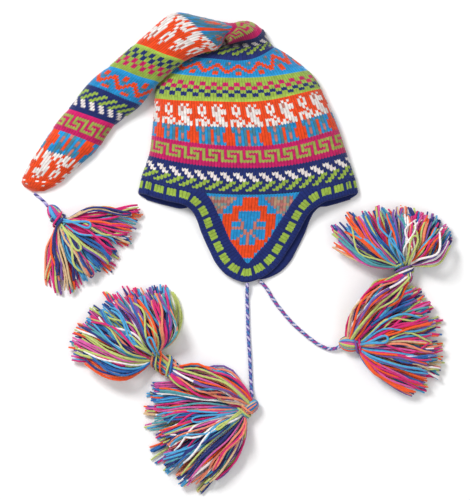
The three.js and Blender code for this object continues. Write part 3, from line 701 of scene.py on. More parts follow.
# The ear flaps: half-widths of the panel and of the edging round it by depth below the rim, in millimetres.
flapShape = {
    "panel": [
        (-1.2, 60), (9.2, 49.8), (20.4, 43.2), (32.4, 36), (44.4, 30), (56.2, 23.6), (67.8, 14.4),
        (76.8, 7.2),
    ],
    "edge": [
        (15.6, 77.4), (22, 70.2), (31.2, 64.8), (43.8, 59.4), (57, 52.8), (67.8, 46.8), (83.8, 37.2),
        (97.8, 22.2),
    ],
    "tip": (84.0, 105.6),  # depth of the panel's and of the edging's lowest point
    "topHalf": 58.5,  # the panel's half-width at its top
    "topDepth": 0.6,  # depth of the first row
    "shortOfTip": 1.2,  # millimetres by which the last row ends above the tip
    "tuck": 1.8,  # millimetres that the panel slips under its edging
    "middleX": 6.0,
    "lean": -0.079,  # sideways lean for each millimetre of depth
    # The lower flap's slip: sideways, then sideways and up for each millimetre of depth.
    "lowerSlip": (2, 0.14, 0.035),
    # Height of the upper cloth's middle by depth, and the least that it comes to.
    "drop": [
        (-25, 20.7), (0, 20.7), (10, 18), (22, 14.6), (36, 11.2), (50, 8.8), (65, 7.8), (84, 7.5), (120, 7.5),
    ],
    "rest": 7.5,
    "rimY": -65.6,
    "rimHalf": 128.0,
    "rimBow": 21.0,
    "rimHeight": 22.0,
    "seam": 0.7,
    "thick": 2.8,
    "stitch": 3.75,
    "row": 3.12,
    "grid": (17, 27),  # stitches each side of the middle one, and rows
    "followRim": 12,  # depth at which the rows no longer follow the rim
    "sideRise": 3.5,  # millimetres from the sides over which the stitches rise
    "topStart": 0.4,  # depth at which they begin to rise
    "topRise": 2,
    "sunk": 1.1,  # millimetres by which the border lies under the cloth's face
    "raised": 0.6,  # how far the stitches' ground stands above that
    "plain": 0.3,  # how far the plain face lies under the cloth's face
    "behind": (60, 70, 110),  # colour of the yarn behind
    "backShares": (0.55, 0.35),  # shares of the stitches' colour and of that one on the plain face
    "medallionX": -2.4,  # the medallion's middle line, from the flap's
    # Half of the medallion's chart, from its middle column outwards, the top row first.
    "chart": [
        "BBBBBBBBBBBBBBB", "OOOBBXXXXXXXXXB", "OOOBBBXXXXXXXXX", "OOOBBBBXXXXXXXX", "OOOOOOBBXXXXXXX",
        "OOOOOOBBBXXXXXX", "BBBBOOBBBXXXXXX", "BBBBOOOOOBBXXXX", "BBBBOOOOOBBBXXX", "BBBSOOOOOBBBBBB",
        "BBSBBBOOOBBBBBB", "BBSBBBOOOBBBBBB", "BBSSSSOOOBBBBBB", "BSTBBBOOBBBBBBB", "SSBBBBOOBBBBBBB",
        "SBSBBBOOBBBBBBB", "SBBSBBOBBBBBBBB", "SBBOOOOBBBBBBBB", "SBBOOOBBBBBBBBB", "OOOOOOBBBBBBBBB",
        "OOOOOBBBBBBBBBB", "OOOOBBBBBBBBBBB", "OOOBBBBBBBBBBBB", "OOOBBBBBBBBBBBB", "BBBBBBBBBBBBBBB",
    ],
}


def rimRise(x):
    # How far a rim point stands above the middle of the rim course: a power of its distance.
    return flapShape["rimBow"] * np.minimum(1, np.abs(x) / flapShape["rimHalf"]) ** tubeShape["bowPower"]


def upperMiddle(x, depth):
    # Height of the middle of the upper cloth: the crown's rim, sinking down the flap to where it rests.
    rimTop = domeRise(x / flapShape["rimHalf"], flapShape["rimHeight"]) - flapShape["thick"] / 2
    drop = smoothAt(*np.array(flapShape["drop"]).T, depth)
    sunk = np.maximum(np.minimum(rimTop, drop), np.minimum(rimTop, flapShape["rest"]))
    return np.where(np.asarray(depth) <= 0, rimTop, sunk)


def flapPlace(across, depth, lower):
    # Plan of a flap point; the lower flap lies slipped to the right and a little up.
    slip, slipX, slipY = flapShape["lowerSlip"] if lower else (0, 0, 0)
    x = flapShape["middleX"] + flapShape["lean"] * depth + across + slip + slipX * depth
    return x, flapShape["rimY"] - depth + slipY * depth


def flapPanel(name, node, lower):
    # Stitches on a plain grid, drawn in to the panel's outline; both faces and the wall between them.
    row, thick, start, tip = [flapShape[part] for part in ("row", "thick", "topDepth", "tip")]
    lowest = tip[0] - flapShape["shortOfTip"]
    halfColumns, rows = flapShape["grid"]
    column = np.arange(-4 * halfColumns - 2, 4 * halfColumns + 3)
    line = np.arange(2 * rows + 1)[:, None]
    depth = np.minimum(start + line * row / 2 + stitchSag(column + 2) * row * 0.9, lowest)
    outline = np.array([(start, flapShape["topHalf"]), *flapShape["panel"][1:], (tip[0], 0.0)])
    half = smoothAt(*outline.T, depth) + flapShape["tuck"]
    wish = column * flapShape["stitch"] / 4 + flapShape["medallionX"] + 0 * line
    x, y = flapPlace(np.clip(wish, -half, half), depth, lower)
    blend = np.clip(depth / flapShape["followRim"], 0, 1)
    y = (flapShape["rimY"] + rimRise(x) + 2 * start - depth) * (1 - blend) + y * blend
    middle = thick / 2 + 0 * x if lower else upperMiddle(x, depth)
    inside = np.clip((half - np.abs(wish)) / flapShape["sideRise"], 0, 1)
    inside = inside * np.clip((depth - flapShape["topStart"]) / flapShape["topRise"], 0, 1)
    ground = flapShape["raised"] + stitchRelief(line, column + 2)
    face = thick / 2 - flapShape["sunk"] + ground * inside
    back = thick / 2 - flapShape["plain"] + 0 * face
    over, under = (back, face) if lower else (face, back)
    topPoints = np.stack([x, y, middle + over], -1).reshape(-1, 3)
    lowPoints = np.stack([x, y, np.maximum(middle - under, 0.05)], -1).reshape(-1, 3)
    faces, at, place = gridQuads(len(line), len(column), wrap=False)
    outside = [beyond.ravel()[faces].all(1) for beyond in (wish <= -half, wish >= half, depth >= lowest)]
    faces, at, place = [part[~np.any(outside, axis=0)] for part in (faces, at, place)]
    codes = chartArray(flapShape["chart"])
    table = np.pad(codes, ((0, rows - len(codes)), (0, 4)), mode="edge")
    full = np.concatenate([table[:, :0:-1], table], 1)
    stitch = (column[place] + 2) // 4 + table.shape[1] - 1
    colours = stitchColours(full)[at // 2, np.clip(stitch, 0, full.shape[1] - 1)]
    share, behindShare = flapShape["backShares"]
    backColours = colours * share + linear(flapShape["behind"]) * behindShare
    # Edges that only one quad has are the panel's border, where the wall stands.
    edges = np.concatenate([faces[:, [k, (k + 1) % 4]] for k in range(4)])
    _, first, uses = np.unique(np.sort(edges, 1), axis=0, return_index=True, return_counts=True)
    border = edges[first[uses == 1]]
    walls = np.concatenate([border[:, ::-1], border + len(topPoints)], 1)
    wallColours = np.tile(letterColours[letters.index("B")], (len(walls), 1))
    # The grid's lines run down the flap, so its quads face up; the lower face's are turned over.
    quads = np.concatenate([faces, faces[:, ::-1] + len(topPoints), walls])
    used, quads = np.unique(quads, return_inverse=True)
    order = -1 if lower else 1
    paint = np.concatenate([*[colours, backColours][::order], wallColours])
    # Painted light and shade of the stitches on the knitted face; none on the plain face.
    shade = np.concatenate([stitchShade(line, column + 2), np.ones(depth.shape)][::order]).ravel()
    marks = cornerMarks(at, place)
    return addPiece(
        name, node, "flap_knit", np.concatenate([topPoints, lowPoints])[used], quads.reshape(-1, 4),
        np.zeros((0, 3), int), paint, np.concatenate([marks, marks[:, ::-1]]), shade[used],
    )


upperFlap = flapPanel("upperEarFlap", "ear_flap_upper", False)
lowerFlap = flapPanel("lowerEarFlap", "ear_flap_lower", True)

# The edging: a folded band with a closed loop of stations on each layer and round the mouth's corners.
edgingShape = {
    "rimX": [-118, -106, -92, -78, 90, 100, 109.5, 119],  # stations on the rim, left and right of the flap
    "rimWidth": 17.5,
    "rimDepth": 6.0,  # depth on the drop table at which the outer edge lies there
    "flare": 0.22,  # how far the band leans outwards at the rim's ends, as a share of its width
    "gape": 5.0,  # how much wider the lower layer is
    "thick": 4.6,
    "cornerAngles": [22, -1, -24],
    "stitches": 188,
    "overlap": 1.6,  # millimetres that the band's inner edge reaches over the seam
    "rowsFromOuter": [0, 2.4, 4.7, 7.0, 9.93, 12.87, 15.8],  # millimetres from the outer edge
    "evenRows": [1, 0.75, 0.5, 0.25],  # rows nearer the seam, as shares of what is left
    "squareRows": (4, 6),  # the first and the last row of the lime squares
    "squareStitches": 3,  # of every four
    "shift": 2,  # stitches by which the squares are moved along
    "underAcross": [0.97, 0.90, 0.75, 0.55, 0.35, 0.15, 0.0],  # the underside's lines, from the seam outwards
    # The painted shade on the band's underside: the share of its colour that is left.
    "underShade": 0.7,
    "foldFrom": 0.88,  # share of the width at which the outer fold begins to round
    "seamTo": 0.12,  # share of it over which the seam's side grows to full thickness
    "seamThick": 0.62,
    "sunk": 0.4,  # millimetres from the band's surface to the ground of its stitches
}


def edgingStations():
    # Inner and outer points of the band: the upper layer left to right, a corner, the lower layer, a corner.
    shape, seam, rimY = edgingShape, flapShape["seam"], flapShape["rimY"]

    def layer(lower):
        # One layer, on the rim, down one side of the flap, up the other and on the rim again.
        def stand(x, y, depth):
            return np.stack([x, y, shape["thick"] / 2 + 0 * x if lower else upperMiddle(x, depth)], 1)

        rimX = np.array(shape["rimX"])
        width = shape["rimWidth"] + (shape["gape"] if lower else 0)
        innerY = rimY + rimRise(rimX) - seam
        outerX = rimX * (1 + shape["flare"] * width / flapShape["rimHalf"])
        rims = [stand(rimX, innerY, 0.0), stand(outerX, innerY - width, shape["rimDepth"])]
        sides = []
        for rim, key, tip in zip(rims, ("panel", "edge"), flapShape["tip"]):
            depth, half = np.array([*flapShape[key], (tip, 0.0)]).T
            depth, across = np.append(depth, depth[-2::-1]), np.append(-half, half[-2::-1])
            x, y = flapPlace(across, depth, lower)
            if key == "panel":
                y[[0, -1]] = rimY + rimRise(x[[0, -1]]) - seam
            sides.append(np.concatenate([rim[:4], stand(x, y, depth), rim[4:]]))
        return sides

    def corner(side):
        # Round a corner of the mouth, along the crown's own section, from the upper layer to the lower.
        angles = np.radians(shape["cornerAngles"])
        turns = angles if side > 0 else np.pi - angles
        rimSection = np.array([tubeShape["sections"][0]], float)
        inner = sectionPoints(rimSection, turns[None, :], flapShape["thick"] / 2)[0]
        inner[:, 1] -= seam
        inner = keepAbove(inner, shape["thick"] / 2)
        width = shape["rimWidth"] + shape["gape"] * np.linspace(0, 1, len(angles))
        return inner, inner + np.stack([side * shape["flare"] * width, -width, 0 * width], 1)

    back = [[side[::-1] for side in part] for part in (layer(True), corner(-1))]
    inner, outer = [np.concatenate(part) for part in zip(layer(False), corner(1), *back)]
    return inner + unit(inner - outer) * shape["overlap"], outer


def halfThick(across):
    # Half the band's thickness: a quarter circle at the outer fold, a little thinner at the seam.
    start, thin = edgingShape["foldFrom"], edgingShape["seamThick"]
    fold = np.sqrt(np.clip(1 - (np.clip(across - start, 0, 1) / (1 - start)) ** 2, 0, 1))
    seam = thin + (1 - thin) * np.clip(across / edgingShape["seamTo"], 0, 1)
    return edgingShape["thick"] / 2 * np.minimum(fold, seam)


def edgingBand():
    # Columns of stitches stand across the band; its top face is knitted, its underside plainer and darkened
    # by painted shade.
    inner, outer = edgingStations()
    fine = np.linspace(0, len(inner), 4000, endpoint=False)
    middle = (smoothRows(inner, fine, True) + smoothRows(outer, fine, True)) / 2
    run = np.append(0, np.cumsum(np.linalg.norm(np.roll(middle, -1, axis=0) - middle, axis=1)))
    columns = 4 * edgingShape["stitches"]
    at = np.interp(np.arange(columns) / columns * run[-1], run, np.append(fine, len(inner)))
    inner, outer = smoothRows(inner, at, True), smoothRows(outer, at, True)
    middle = (inner + outer) / 2
    along = unit(np.roll(middle, -1, axis=0) - np.roll(middle, 1, axis=0))
    width = np.linalg.norm(outer - inner, axis=1)
    # Rows stand at fixed distances from the outer edge, and share what is left of the width.
    fixed = np.array(edgingShape["rowsFromOuter"])[::-1, None]
    shared = fixed[0] + (width - fixed[0]) * np.array(edgingShape["evenRows"])[:, None]
    rowLines = np.concatenate([shared, fixed + 0 * width])
    rows = len(rowLines) - 1
    column, line = np.arange(columns), np.arange(2 * rows + 1)[:, None]
    lines, rowHigh = np.empty((2, 2 * rows + 1, columns))
    lines[0::2], lines[1::2] = rowLines, (rowLines[:-1] + rowLines[1:]) / 2
    rowHigh[0::2], rowHigh[1::2] = -np.gradient(rowLines, axis=0), -np.diff(rowLines, axis=0)
    fade = np.ones((len(lines), 1))
    fade[[0, 1, -2, -1], 0] = 0, 0.5, 0.5, 0
    across = np.clip(1 - (lines + stitchSag(column) * rowHigh * fade * 0.8) / width, 0, 1)
    half = halfThick(across)
    relief = stitchRelief(line, column) * fade * np.clip(half / edgingShape["thick"] * 2.5, 0, 1)
    high = np.maximum(half - edgingShape["sunk"] + relief, 0)
    under = np.array(edgingShape["underAcross"])[:, None] + np.zeros(columns)
    high = np.concatenate([high, 0.1 - halfThick(under)])[..., None]
    across = np.concatenate([across, under])[..., None]
    points = inner + (outer - inner) * across + unit(np.cross(outer - inner, along)) * high
    total = len(points)
    # One line more than the band has closes it from its underside to its top face.
    quads, at, place = gridQuads(total + 1, columns)
    navy, lime = letterColours[letters.index("N")], letterColours[letters.index("G")]
    first, last = edgingShape["squareRows"]
    isSquare = (at < 2 * rows) & (at // 2 >= first) & (at // 2 <= last)
    isSquare &= (place // 4 + edgingShape["shift"]) % 4 < edgingShape["squareStitches"]
    grain = 1 + knitLook["uneven"] * draw.standard_normal((total * columns // 4 + columns, 1))
    colours = np.where(isSquare[:, None], lime, navy) * grain[(at // 2) * (columns // 4) + place // 4]
    colours[-columns:] = navy
    # Painted light and shade of the stitches on the top face, and a flat painted shade on the underside.
    shade = np.append(stitchShade(line, column), np.full(under.size, edgingShape["underShade"]))
    addPiece(
        "edgingBand", "edging_band", "edging_knit", keepAbove(points, 0.05).reshape(-1, 3),
        quads % (total * columns), np.zeros((0, 3), int), colours, cornerMarks(at, place)[:-columns], shade,
    )
    return run[-1]


print("edging loop in millimetres:", round(float(edgingBand()), 1))

# Tassels: angles are in plan, anticlockwise from +X; reach gives the yarns' lengths from one side of the
# fan to the other, weights how often each colour comes, and a link its middle line and radius.
tasselLook = {
    "yarnRadius": 1.4,
    "thickness": (0.85, 1.12),  # least and most of one yarn's radius, as shares of that
    "sides": 6,
    "rings": 15,
    "neckReach": 12.0,
    "yarnsInLock": 5,
    "inOneColour": 0.48,  # share of a lock's yarns that take the lock's own colour
    "lockTrim": (0.91, 1.03),  # least and most of a lock's length, as shares of its reach
    "yarnTrim": (0.97, 1.02),  # the same for one yarn in its lock
    "lockSwing": (1.0, 6.0),  # millimetres by which a lock swings sideways
    "lockWaves": (0.45, 1.05),  # how many times it swings on its way
    "yarnSwing": (0.3, 2.0),  # millimetres by which one yarn swings
    "yarnWaves": (1.6, 0.9),  # how many times, sideways and up
    "apart": 1.9,  # millimetres between the yarns of a lock
    "strays": {"from": 0.12, "to": 0.88, "swing": 9.0, "waves": 0.9, "trim": 0.92},
    "pile": ([0, 0.25, 0.5, 0.8, 1.0], [0.7, 1.0, 1.0, 0.85, 0.6]),  # the pile's height along the yarns
    "endSizes": (0.7, 0.8),  # a yarn's first and last ring, as shares of its radius
    "tips": (0.5, 0.6),  # millimetres by which its rounded ends stand out
    "foldLoops": 26,
    "foldTurn": 2.6,  # radians that a fold over the head goes each way
    "foldStart": 1.5,
    "slackReach": (0.30, 0.62),  # how far loops of slack yarn go, as shares of the bundle's reach
    "slackWidth": (2.5, 6.0),
    "wrapTurns": (0.7, 1.2),
    "wrapStart": -9,  # millimetres from the neck
    "wrapRun": 14,
    "wrapOff": 1.6,
    "linkTwist": 1.9,  # radians, at most
    "linkSlack": 0.6,
    "bright": ["lightBlue", "lime", "magenta", "white"],  # colours of stray yarns and loops
    "colours": {
        "blue": (42, 104, 176), "lightBlue": (78, 166, 216), "navy": (44, 54, 124), "magenta": (216, 38, 118),
        "pink": (216, 92, 166), "orange": (244, 92, 38), "salmon": (238, 140, 108), "lime": (192, 204, 116),
        "tan": (216, 184, 142), "white": (246, 240, 240), "purple": (122, 84, 164), "teal": (84, 160, 170),
    },
    "tail": {
        "head": (-232.8, -87.6, 9), "size": (10, 8, 8), "axis": -58, "from": 16, "to": -102, "fanReach": 15.0,
        "reach": [95, 97, 88, 81, 81, 82, 85, 68], "top": 24, "locks": 36, "seed": 3, "neck": 6.0,
        "bulge": 5.0, "weights": [12, 11, 8, 20, 9, 10, 6, 8, 3, 9, 6, 5], "loops": 2, "strays": 6,
        "wraps": ["magenta", "teal", "navy"],
    },
    "leftSkirt": {
        "head": (4.2, -319, 9), "size": (8, 9, 8), "axis": 214, "from": 163, "to": 248, "fanReach": 13.0,
        "reach": [111, 113, 113, 114, 119, 118, 116, 80], "top": 31, "locks": 50, "seed": 5, "neck": 6.5,
        "bulge": 9.0, "weights": [13, 15, 8, 11, 10, 9, 8, 9, 4, 11, 6, 10], "loops": 2, "strays": 8,
        "wraps": ["salmon", "teal", "lime"],
    },
    "leftPompom": {
        "head": (-88, -279, 11), "size": (9, 9, 9), "axis": 141, "from": 76, "to": 186, "fanReach": 30.0,
        "reach": [75, 79, 83, 91, 99, 107, 108, 88], "top": 36, "locks": 54, "seed": 7, "neck": 8.5,
        "bulge": 15.0, "weights": [14, 12, 10, 12, 11, 12, 8, 8, 4, 9, 7, 6], "loops": 2, "strays": 9,
        "wraps": ["lime", "blue", "salmon", "navy", "lime", "orange"],
    },
    "rightSkirt": {
        "head": (121, -244.6, 9), "size": (11, 10, 9), "axis": -8, "from": 50, "to": -42, "fanReach": 13.0,
        "reach": [95, 98, 102, 105, 103, 104, 99, 86], "top": 31, "locks": 48, "seed": 9, "neck": 6.5,
        "bulge": 8.0, "weights": [10, 9, 10, 13, 11, 14, 8, 10, 4, 8, 7, 5], "loops": 1, "strays": 8,
        "wraps": ["purple", "magenta"],
    },
    "rightPompom": {
        "head": (189, -164, 11), "size": (9, 9, 9), "axis": 100, "from": 166, "to": 22, "fanReach": 13.0,
        "reach": [86, 95, 84, 76, 71, 70, 67, 62], "top": 36, "locks": 52, "seed": 13, "neck": 8.0,
        "bulge": 10.0, "weights": [14, 11, 12, 13, 10, 12, 6, 8, 3, 6, 8, 7], "loops": 2, "strays": 8,
        "wraps": ["white", "navy", "lime", "teal", "purple"],
    },
    "leftLink": [
        (3, -318, 9, 6), (-12, -305, 13, 13), (-32, -293, 15, 19), (-58, -287, 15, 19), (-80, -282, 13, 12),
        (-92, -277, 12, 8),
    ],
    "rightLink": [
        (122, -243, 9, 6), (133, -223, 14, 13), (149, -201, 16, 18), (167, -185, 16, 17), (181, -172, 13, 10),
        (191, -162, 12, 8),
    ],
    "linkYarns": 84,
    "linkSeed": 31,
}
yarnPalette = linear(tasselLook["colours"].values())
yarnNames = list(tasselLook["colours"])
notWhite = np.arange(len(yarnNames)) != yarnNames.index("white")


def colourPicks(names):
    # Places of named colours in the palette.
    return np.array([yarnNames.index(name) for name in names])


def addYarns(name, node, slot, paths, across, radius, picks):
    # Round tubes along many paths at once: a ring stands across each path point, a cap closes each end.
    count, rings = paths.shape[:2]
    sides = tasselLook["sides"]
    forward = unit(np.gradient(paths, axis=1))
    level = unit(across[:, None] - (across[:, None] * forward).sum(-1, keepdims=True) * forward)
    swell = np.ones(rings)
    swell[[0, -1]] = tasselLook["endSizes"]
    near, far = tasselLook["tips"]
    turn = np.arange(sides) / sides * 2 * np.pi
    ring = circle(turn, level[:, :, None], np.cross(forward, level)[:, :, None])
    points = paths[:, :, None] + (radius[:, None] * swell)[..., None, None] * ring
    tips = np.stack([paths[:, 0] - forward[:, 0] * near, paths[:, -1] + forward[:, -1] * far], 1)
    points = keepAbove(np.concatenate([points.reshape(count, -1, 3), tips], 1), 0.1)
    quads, caps, line, column = tubeFaces(rings, sides)
    start = (np.arange(count) * points.shape[1])[:, None, None]
    colours = yarnPalette[picks]
    return addPiece(
        name, node, slot, points.reshape(-1, 3),
        (quads + start).reshape(-1, 4), (caps + start).reshape(-1, 3),
        np.concatenate([np.repeat(colours, len(quads), 0), np.repeat(colours, len(caps), 0)]),
        np.tile(cornerMarks(line, column, (1 / sides, 0.7))[:, ::-1], (count, 1, 1)),
    )


def planWays(angle):
    # Level directions along an angle and across it, from its cosine and sine.
    return circle(angle, [1.0, 0, 0], [0, 1.0, 0]), circle(angle, [0, 1.0, 0], [-1.0, 0, 0])


def bundleFrame(look):
    # A bundle's head, and the directions along its axis and level across it.
    return np.array(look["head"], float), *planWays(np.radians(look["axis"]))


def fanWays(look, share):
    # Directions of the yarns at a share of the fan's opening, and level across them.
    return planWays(np.radians(look["from"] + (look["to"] - look["from"]) * share))


def reachAt(look, share):
    # Length of the yarns at a share of the fan's opening.
    return np.interp(share, np.linspace(0, 1, len(look["reach"])), look["reach"])


def sway(q, strength, waves, phase):
    # A sideways swing that starts from nothing at the neck and grows towards the yarn's end.
    strength, waves, phase = [np.reshape(part, (-1, 1)) for part in (strength, waves, phase)]
    return strength * (np.sin(2 * np.pi * (q * waves + phase)) - np.sin(2 * np.pi * phase)) * q**0.6


def fanPaths(look, rng):
    # Yarns from inside the head through the neck, then out in a fan. They lie in locks that swing together.
    # The pile is high near the neck and low at the ends; the outer yarns bow outwards by the bulge's sine.
    each, locks, yarn = tasselLook["yarnsInLock"], look["locks"], tasselLook["yarnRadius"]
    count = locks * each + look["strays"]
    lock = np.minimum(np.arange(count) // each, locks)
    stray = lock == locks
    head, ahead, aside = bundleFrame(look)
    strays, yarnSwing = tasselLook["strays"], tasselLook["yarnSwing"]
    sideWaves, upWaves = tasselLook["yarnWaves"]

    def byLock(values, own):
        # Each yarn's value is its lock's; strays have one of their own.
        return np.append(values, own)[lock]

    spread = byLock((rng.permutation(locks) + rng.random(locks)) / locks, 0.5)
    high = byLock(rng.random(locks) ** 1.1, 1.0)
    spread = np.clip(spread + rng.normal(0, 0.011, count), 0, 1)
    spread = np.where(stray, rng.uniform(strays["from"], strays["to"], count), spread)
    high = np.clip(high + rng.normal(0, 0.06, count), 0, 1.08)
    outward, sideways = fanWays(look, 0.5 + (spread - 0.5) * (1 - 0.16 * high))
    trim = byLock(rng.uniform(*tasselLook["lockTrim"], locks), strays["trim"])
    trim = trim * rng.uniform(*tasselLook["yarnTrim"], count)
    length = reachAt(look, spread) * (1.02 - 0.15 * high) * trim
    q = np.linspace(0, 1, tasselLook["rings"] - 3)
    strength = byLock(rng.uniform(*tasselLook["lockSwing"], locks), strays["swing"])
    waves = byLock(rng.uniform(*tasselLook["lockWaves"], locks), strays["waves"])
    phase = byLock(rng.random(locks), 0.0) + np.where(stray, rng.random(count), 0)
    swing = sway(q, strength, waves, phase)
    swing = swing + sway(q, rng.uniform(*yarnSwing, count), sideWaves, rng.random(count))
    apart = rng.normal(0, tasselLook["apart"], count)[:, None] * (1.1 - 0.45 * q**2)
    way = np.sign(look["to"] - look["from"])
    edge = (2 * spread - 1) * np.abs(2 * spread - 1) ** 0.6
    bow = look["bulge"] * way * edge[:, None] * np.sin(np.pi * q**0.8)
    lean = (spread - 0.5)[:, None] * way * aside * 2 * look["neck"]
    neckOff = lean + up * ((high - 0.5) * 1.5 * look["neck"])[:, None]
    fanStart = head + ahead * look["fanReach"] + neckOff
    settle = np.clip(q / 0.34, 0, 1) ** 1.2
    ground = yarn + rng.uniform(0.0, 1.2, count)
    pile = ground[:, None] + (look["top"] - 2 * yarn) * high[:, None] * np.interp(q, *tasselLook["pile"])
    pile = pile + sway(q, rng.uniform(*yarnSwing, count), upWaves, rng.random(count))
    fan = fanStart[:, None] + outward[:, None] * (length[:, None] * q)[..., None]
    fan = fan + sideways[:, None] * (swing + bow + apart * settle)[..., None]
    fan[..., 2] = fanStart[:, 2:] * (1 - settle) + pile * settle
    neck = head + ahead * tasselLook["neckReach"] + neckOff * 0.82
    inHead = np.stack([head - ahead + neckOff, head + ahead * 5 + neckOff, neck], 1)
    return keepAbove(np.concatenate([inHead, fan], 1), yarn), lock


def loopPaths(look, rng):
    # Slack yarn that goes out from the neck over the pile and comes back beside itself: a drop shape.
    count = look["loops"]
    head, ahead, _ = bundleFrame(look)
    start = head + ahead * (look["fanReach"] - 3)
    spread = (np.arange(count) + rng.uniform(0.2, 0.8, count)) / count
    outward, sideways = fanWays(look, 0.15 + 0.7 * spread)
    u = np.linspace(0.0, 1.0, tasselLook["rings"])
    far = (reachAt(look, spread) * rng.uniform(*tasselLook["slackReach"], count))[:, None]
    wide = rng.uniform(*tasselLook["slackWidth"], count)
    wide = (wide * np.where(rng.random(count) < 0.5, -1, 1))[:, None]
    out = far * np.sin(np.pi * u) ** 0.8
    side = 6 * rng.uniform(-1, 1, count)[:, None] * u - wide * np.sin(2 * np.pi * u) * np.sin(np.pi * u)
    paths = start + outward[:, None] * out[..., None] + sideways[:, None] * side[..., None]
    rise = np.clip(out / far / 0.4, 0, 1)
    paths[..., 2] = (start[2] + 4) * (1 - rise) + (look["top"] + 1.0) * rise
    return paths


def headLoops(look, rng):
    # The yarns' folds over the head: ellipses in planes through the axis, from the neck round and back.
    count, yarn, start = [tasselLook[part] for part in ("foldLoops", "yarnRadius", "foldStart")]
    head, ahead, aside = bundleFrame(look)
    plane = circle((np.arange(count) + 0.5 * rng.random(count)) / count * np.pi, aside, up)
    turn = np.linspace(-1, 1, tasselLook["rings"]) * tasselLook["foldTurn"]
    long, broad, tall = look["size"]
    wide = max((broad + tall) / 2, look["neck"] + 1.0) - yarn * 0.5
    squash = rng.uniform(0.88, 1.0, count)[:, None, None]
    loops = circle(turn, -ahead * (long + start), plane[:, None] * wide) * squash
    return keepAbove(head + ahead * start + loops, yarn), np.cross(plane, ahead)


def linkPaths(rows, rng):
    # Loose yarn along the link's middle line, each strand at its own place in the bundle, swelling and slack.
    count, q = tasselLook["linkYarns"], np.linspace(0, 1, tasselLook["rings"])
    line = smoothRows(rows, q * (len(rows) - 1))
    middle, radius = line[:, :3], line[:, 3]
    _, level = pathWays(middle)
    out = np.sqrt(rng.random(count)) * 1.02
    twist = tasselLook["linkTwist"]
    turn = rng.random(count)[:, None] * 2 * np.pi + q * rng.uniform(-twist, twist, count)[:, None]
    loose = rng.uniform(0, tasselLook["linkSlack"], count)[:, None] * np.sin(np.pi * q)
    slack = 1 + loose * np.sin(2 * np.pi * (q * 1.3 + rng.random(count)[:, None]))
    offset = (out[:, None] * radius * slack)[..., None] * circle(turn, level, up * 0.95)
    return keepAbove(middle + offset, tasselLook["yarnRadius"])


def wrapPaths(look, rng):
    # Strands that cross over the neck: helices that wind about once round it while they run along it.
    count, reach, off = len(look["wraps"]), tasselLook["neckReach"], tasselLook["wrapOff"]
    head, ahead, aside = bundleFrame(look)
    q = np.linspace(0, 1, tasselLook["rings"])
    turns = rng.uniform(*tasselLook["wrapTurns"], count)[:, None]
    turn = 2 * np.pi * ((np.arange(count) / count)[:, None] + turns * q)
    along = reach + tasselLook["wrapStart"] + (look["fanReach"] - reach + tasselLook["wrapRun"]) * q
    radius = look["neck"] + off + off * np.sin(np.pi * q)
    paths = head + ahead * along[:, None] + radius[:, None] * circle(turn, aside, up)
    return keepAbove(paths, tasselLook["yarnRadius"])


def lockPicks(lock, weights, rng):
    # Colours of yarns: most of a lock share one, never white, the others are drawn by the bundle's weights.
    share = weights / weights.sum()
    calm = share * notWhite
    main = rng.choice(len(share), lock.max() + 1, p=calm / calm.sum())
    own = rng.choice(len(share), len(lock), p=share)
    return np.where(rng.random(len(lock)) < tasselLook["inOneColour"], main[lock], own)


def addTassel(name, node, bundles, link=None):
    # One object from all the yarns of its bundles, folds, loops, wraps and link.
    bright = colourPicks(tasselLook["bright"])
    groups = []

    def keep(rng, paths, across, picks):
        # Keeps a group of yarns, each with a drawn radius.
        radius = tasselLook["yarnRadius"] * rng.uniform(*tasselLook["thickness"], len(paths))
        groups.append((paths, np.broadcast_to(across, (len(paths), 3)), radius, picks))

    for key in bundles:
        look = tasselLook[key]
        rng = np.random.default_rng(look["seed"])
        weights = np.array(look["weights"], float)
        fan, lock = fanPaths(look, rng)
        picks = lockPicks(lock, weights, rng)
        stray = lock == look["locks"]
        picks[stray] = bright[rng.integers(0, len(bright), int(stray.sum()))]
        folds, normals = headLoops(look, rng)
        foldPicks = lockPicks(np.arange(len(folds)) // 3, weights * notWhite, rng)
        loops, wraps = loopPaths(look, rng), wrapPaths(look, rng)
        keep(rng, fan, up, picks)
        keep(rng, folds, normals, foldPicks)
        keep(rng, loops, up, bright[: len(loops)])
        keep(rng, wraps, up, colourPicks(look["wraps"]))
    if link:
        rng = np.random.default_rng(tasselLook["linkSeed"])
        paths = linkPaths(tasselLook[link], rng)
        keep(rng, paths, up, lockPicks(np.arange(len(paths)) // 4, weights, rng))
    addYarns(name, node, "tassel_yarn", *[np.concatenate(part) for part in zip(*groups)])


addTassel("tailTassel", "tail_tassel", ["tail"])
addTassel("leftTassel", "left_tassel", ["leftSkirt", "leftPompom"], "leftLink")
addTassel("rightTassel", "right_tassel", ["rightSkirt", "rightPompom"], "rightLink")

# Ties: a yarn wound a few times round each neck. Each piece has its CAD node, its bundle and its colour.
tieLook = {
    "radius": 6.2,
    "turns": 3.0,
    "width": 3.6,
    "yarn": 1.15,
    "rings": 64,
    "pieces": {
        "tailTie": ("tail_tassel_tie", "tail", "blue"),
        "leftTie": ("left_tassel_tie", "leftSkirt", "salmon"),
        "leftPompomTie": ("left_pompom_tie", "leftPompom", "lime"),
        "rightTie": ("right_tassel_tie", "rightSkirt", "magenta"),
        "rightPompomTie": ("right_pompom_tie", "rightPompom", "white"),
    },
}


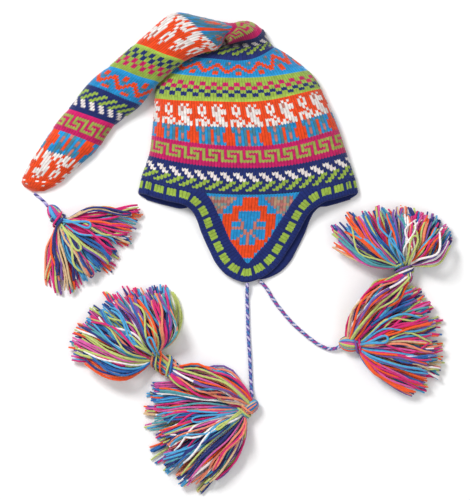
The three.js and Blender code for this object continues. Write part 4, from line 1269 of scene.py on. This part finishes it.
def addTie(name, node, key, colour):
    # A helix round the neck's axis: it goes round turns times while it moves along by its width.
    head, ahead, aside = bundleFrame(tasselLook[key])
    share = np.linspace(0, 1, tieLook["rings"])
    along = tasselLook["neckReach"] + (share - 0.5) * tieLook["width"]
    path = head + ahead * along[:, None]
    path = path + tieLook["radius"] * circle(share * tieLook["turns"] * 2 * np.pi, aside, up)
    radius = np.array([tieLook["yarn"]])
    return addYarns(name, node, "tie_yarn", path[None], ahead[None], radius, colourPicks([colour]))


ties = {name: addTie(name, *facts) for name, facts in tieLook["pieces"].items()}

# Floor and lights.
stageLook = {
    "floorSize": 6.0,
    "floorTone": (250, 250, 250),
    "floorGrain": 0.01,
    "worldTone": 1.0,
    "worldStrength": 0.55,
    "lamps": {
        "key": {"place": (-1.1, 1.1, 1.9), "size": 0.8, "power": 46.0},
        "fill": {"place": (1.4, -0.9, 1.8), "size": 1.6, "power": 9.0},
    },
}


def makeStage(look):
    # A flat pale floor with a faint grain, an even sky, and two wide lamps aimed at the hat.
    half = look["floorSize"] / 2
    mesh = bpy.data.meshes.new("floor")
    corners = [(-half, -half, 0), (half, -half, 0), (half, half, 0), (-half, half, 0)]
    mesh.from_pydata(corners, [], [(0, 1, 2, 3)])
    material, tree, shader, place = newMaterial("floorPaper")
    grain = addNode(tree, "TexNoise", {"Scale": 60.0}, {"Vector": (place, "Object")})
    tone = rangeRound(tree, grain, float(linear(look["floorTone"])[0]), look["floorGrain"])
    setNode(tree, shader, {"Roughness": 0.9}, {"Base Color": (tone, "Result")})
    mesh.materials.append(material)
    addToScene("floor", mesh)
    world = bpy.data.worlds.new("studio")
    world.use_nodes = True
    sky = world.node_tree.nodes["Background"]
    sky.inputs["Color"].default_value = (look["worldTone"],) * 3 + (1.0,)
    sky.inputs["Strength"].default_value = look["worldStrength"]
    bpy.context.scene.world = world
    for name, lamp in look["lamps"].items():
        data = bpy.data.lights.new(name, "AREA")
        data.size = lamp["size"]
        data.energy = lamp["power"]
        light = addToScene(name, data)
        light.location = lamp["place"]
        x, y, z = np.array(lamp["place"]) - cameraLook["middle"]
        light.rotation_euler = (math.atan2(math.hypot(x, y), z), 0, math.atan2(y, x) + math.pi / 2)
    bpy.context.scene.view_settings.view_transform = "Standard"


makeStage(stageLook)
print("stage set")
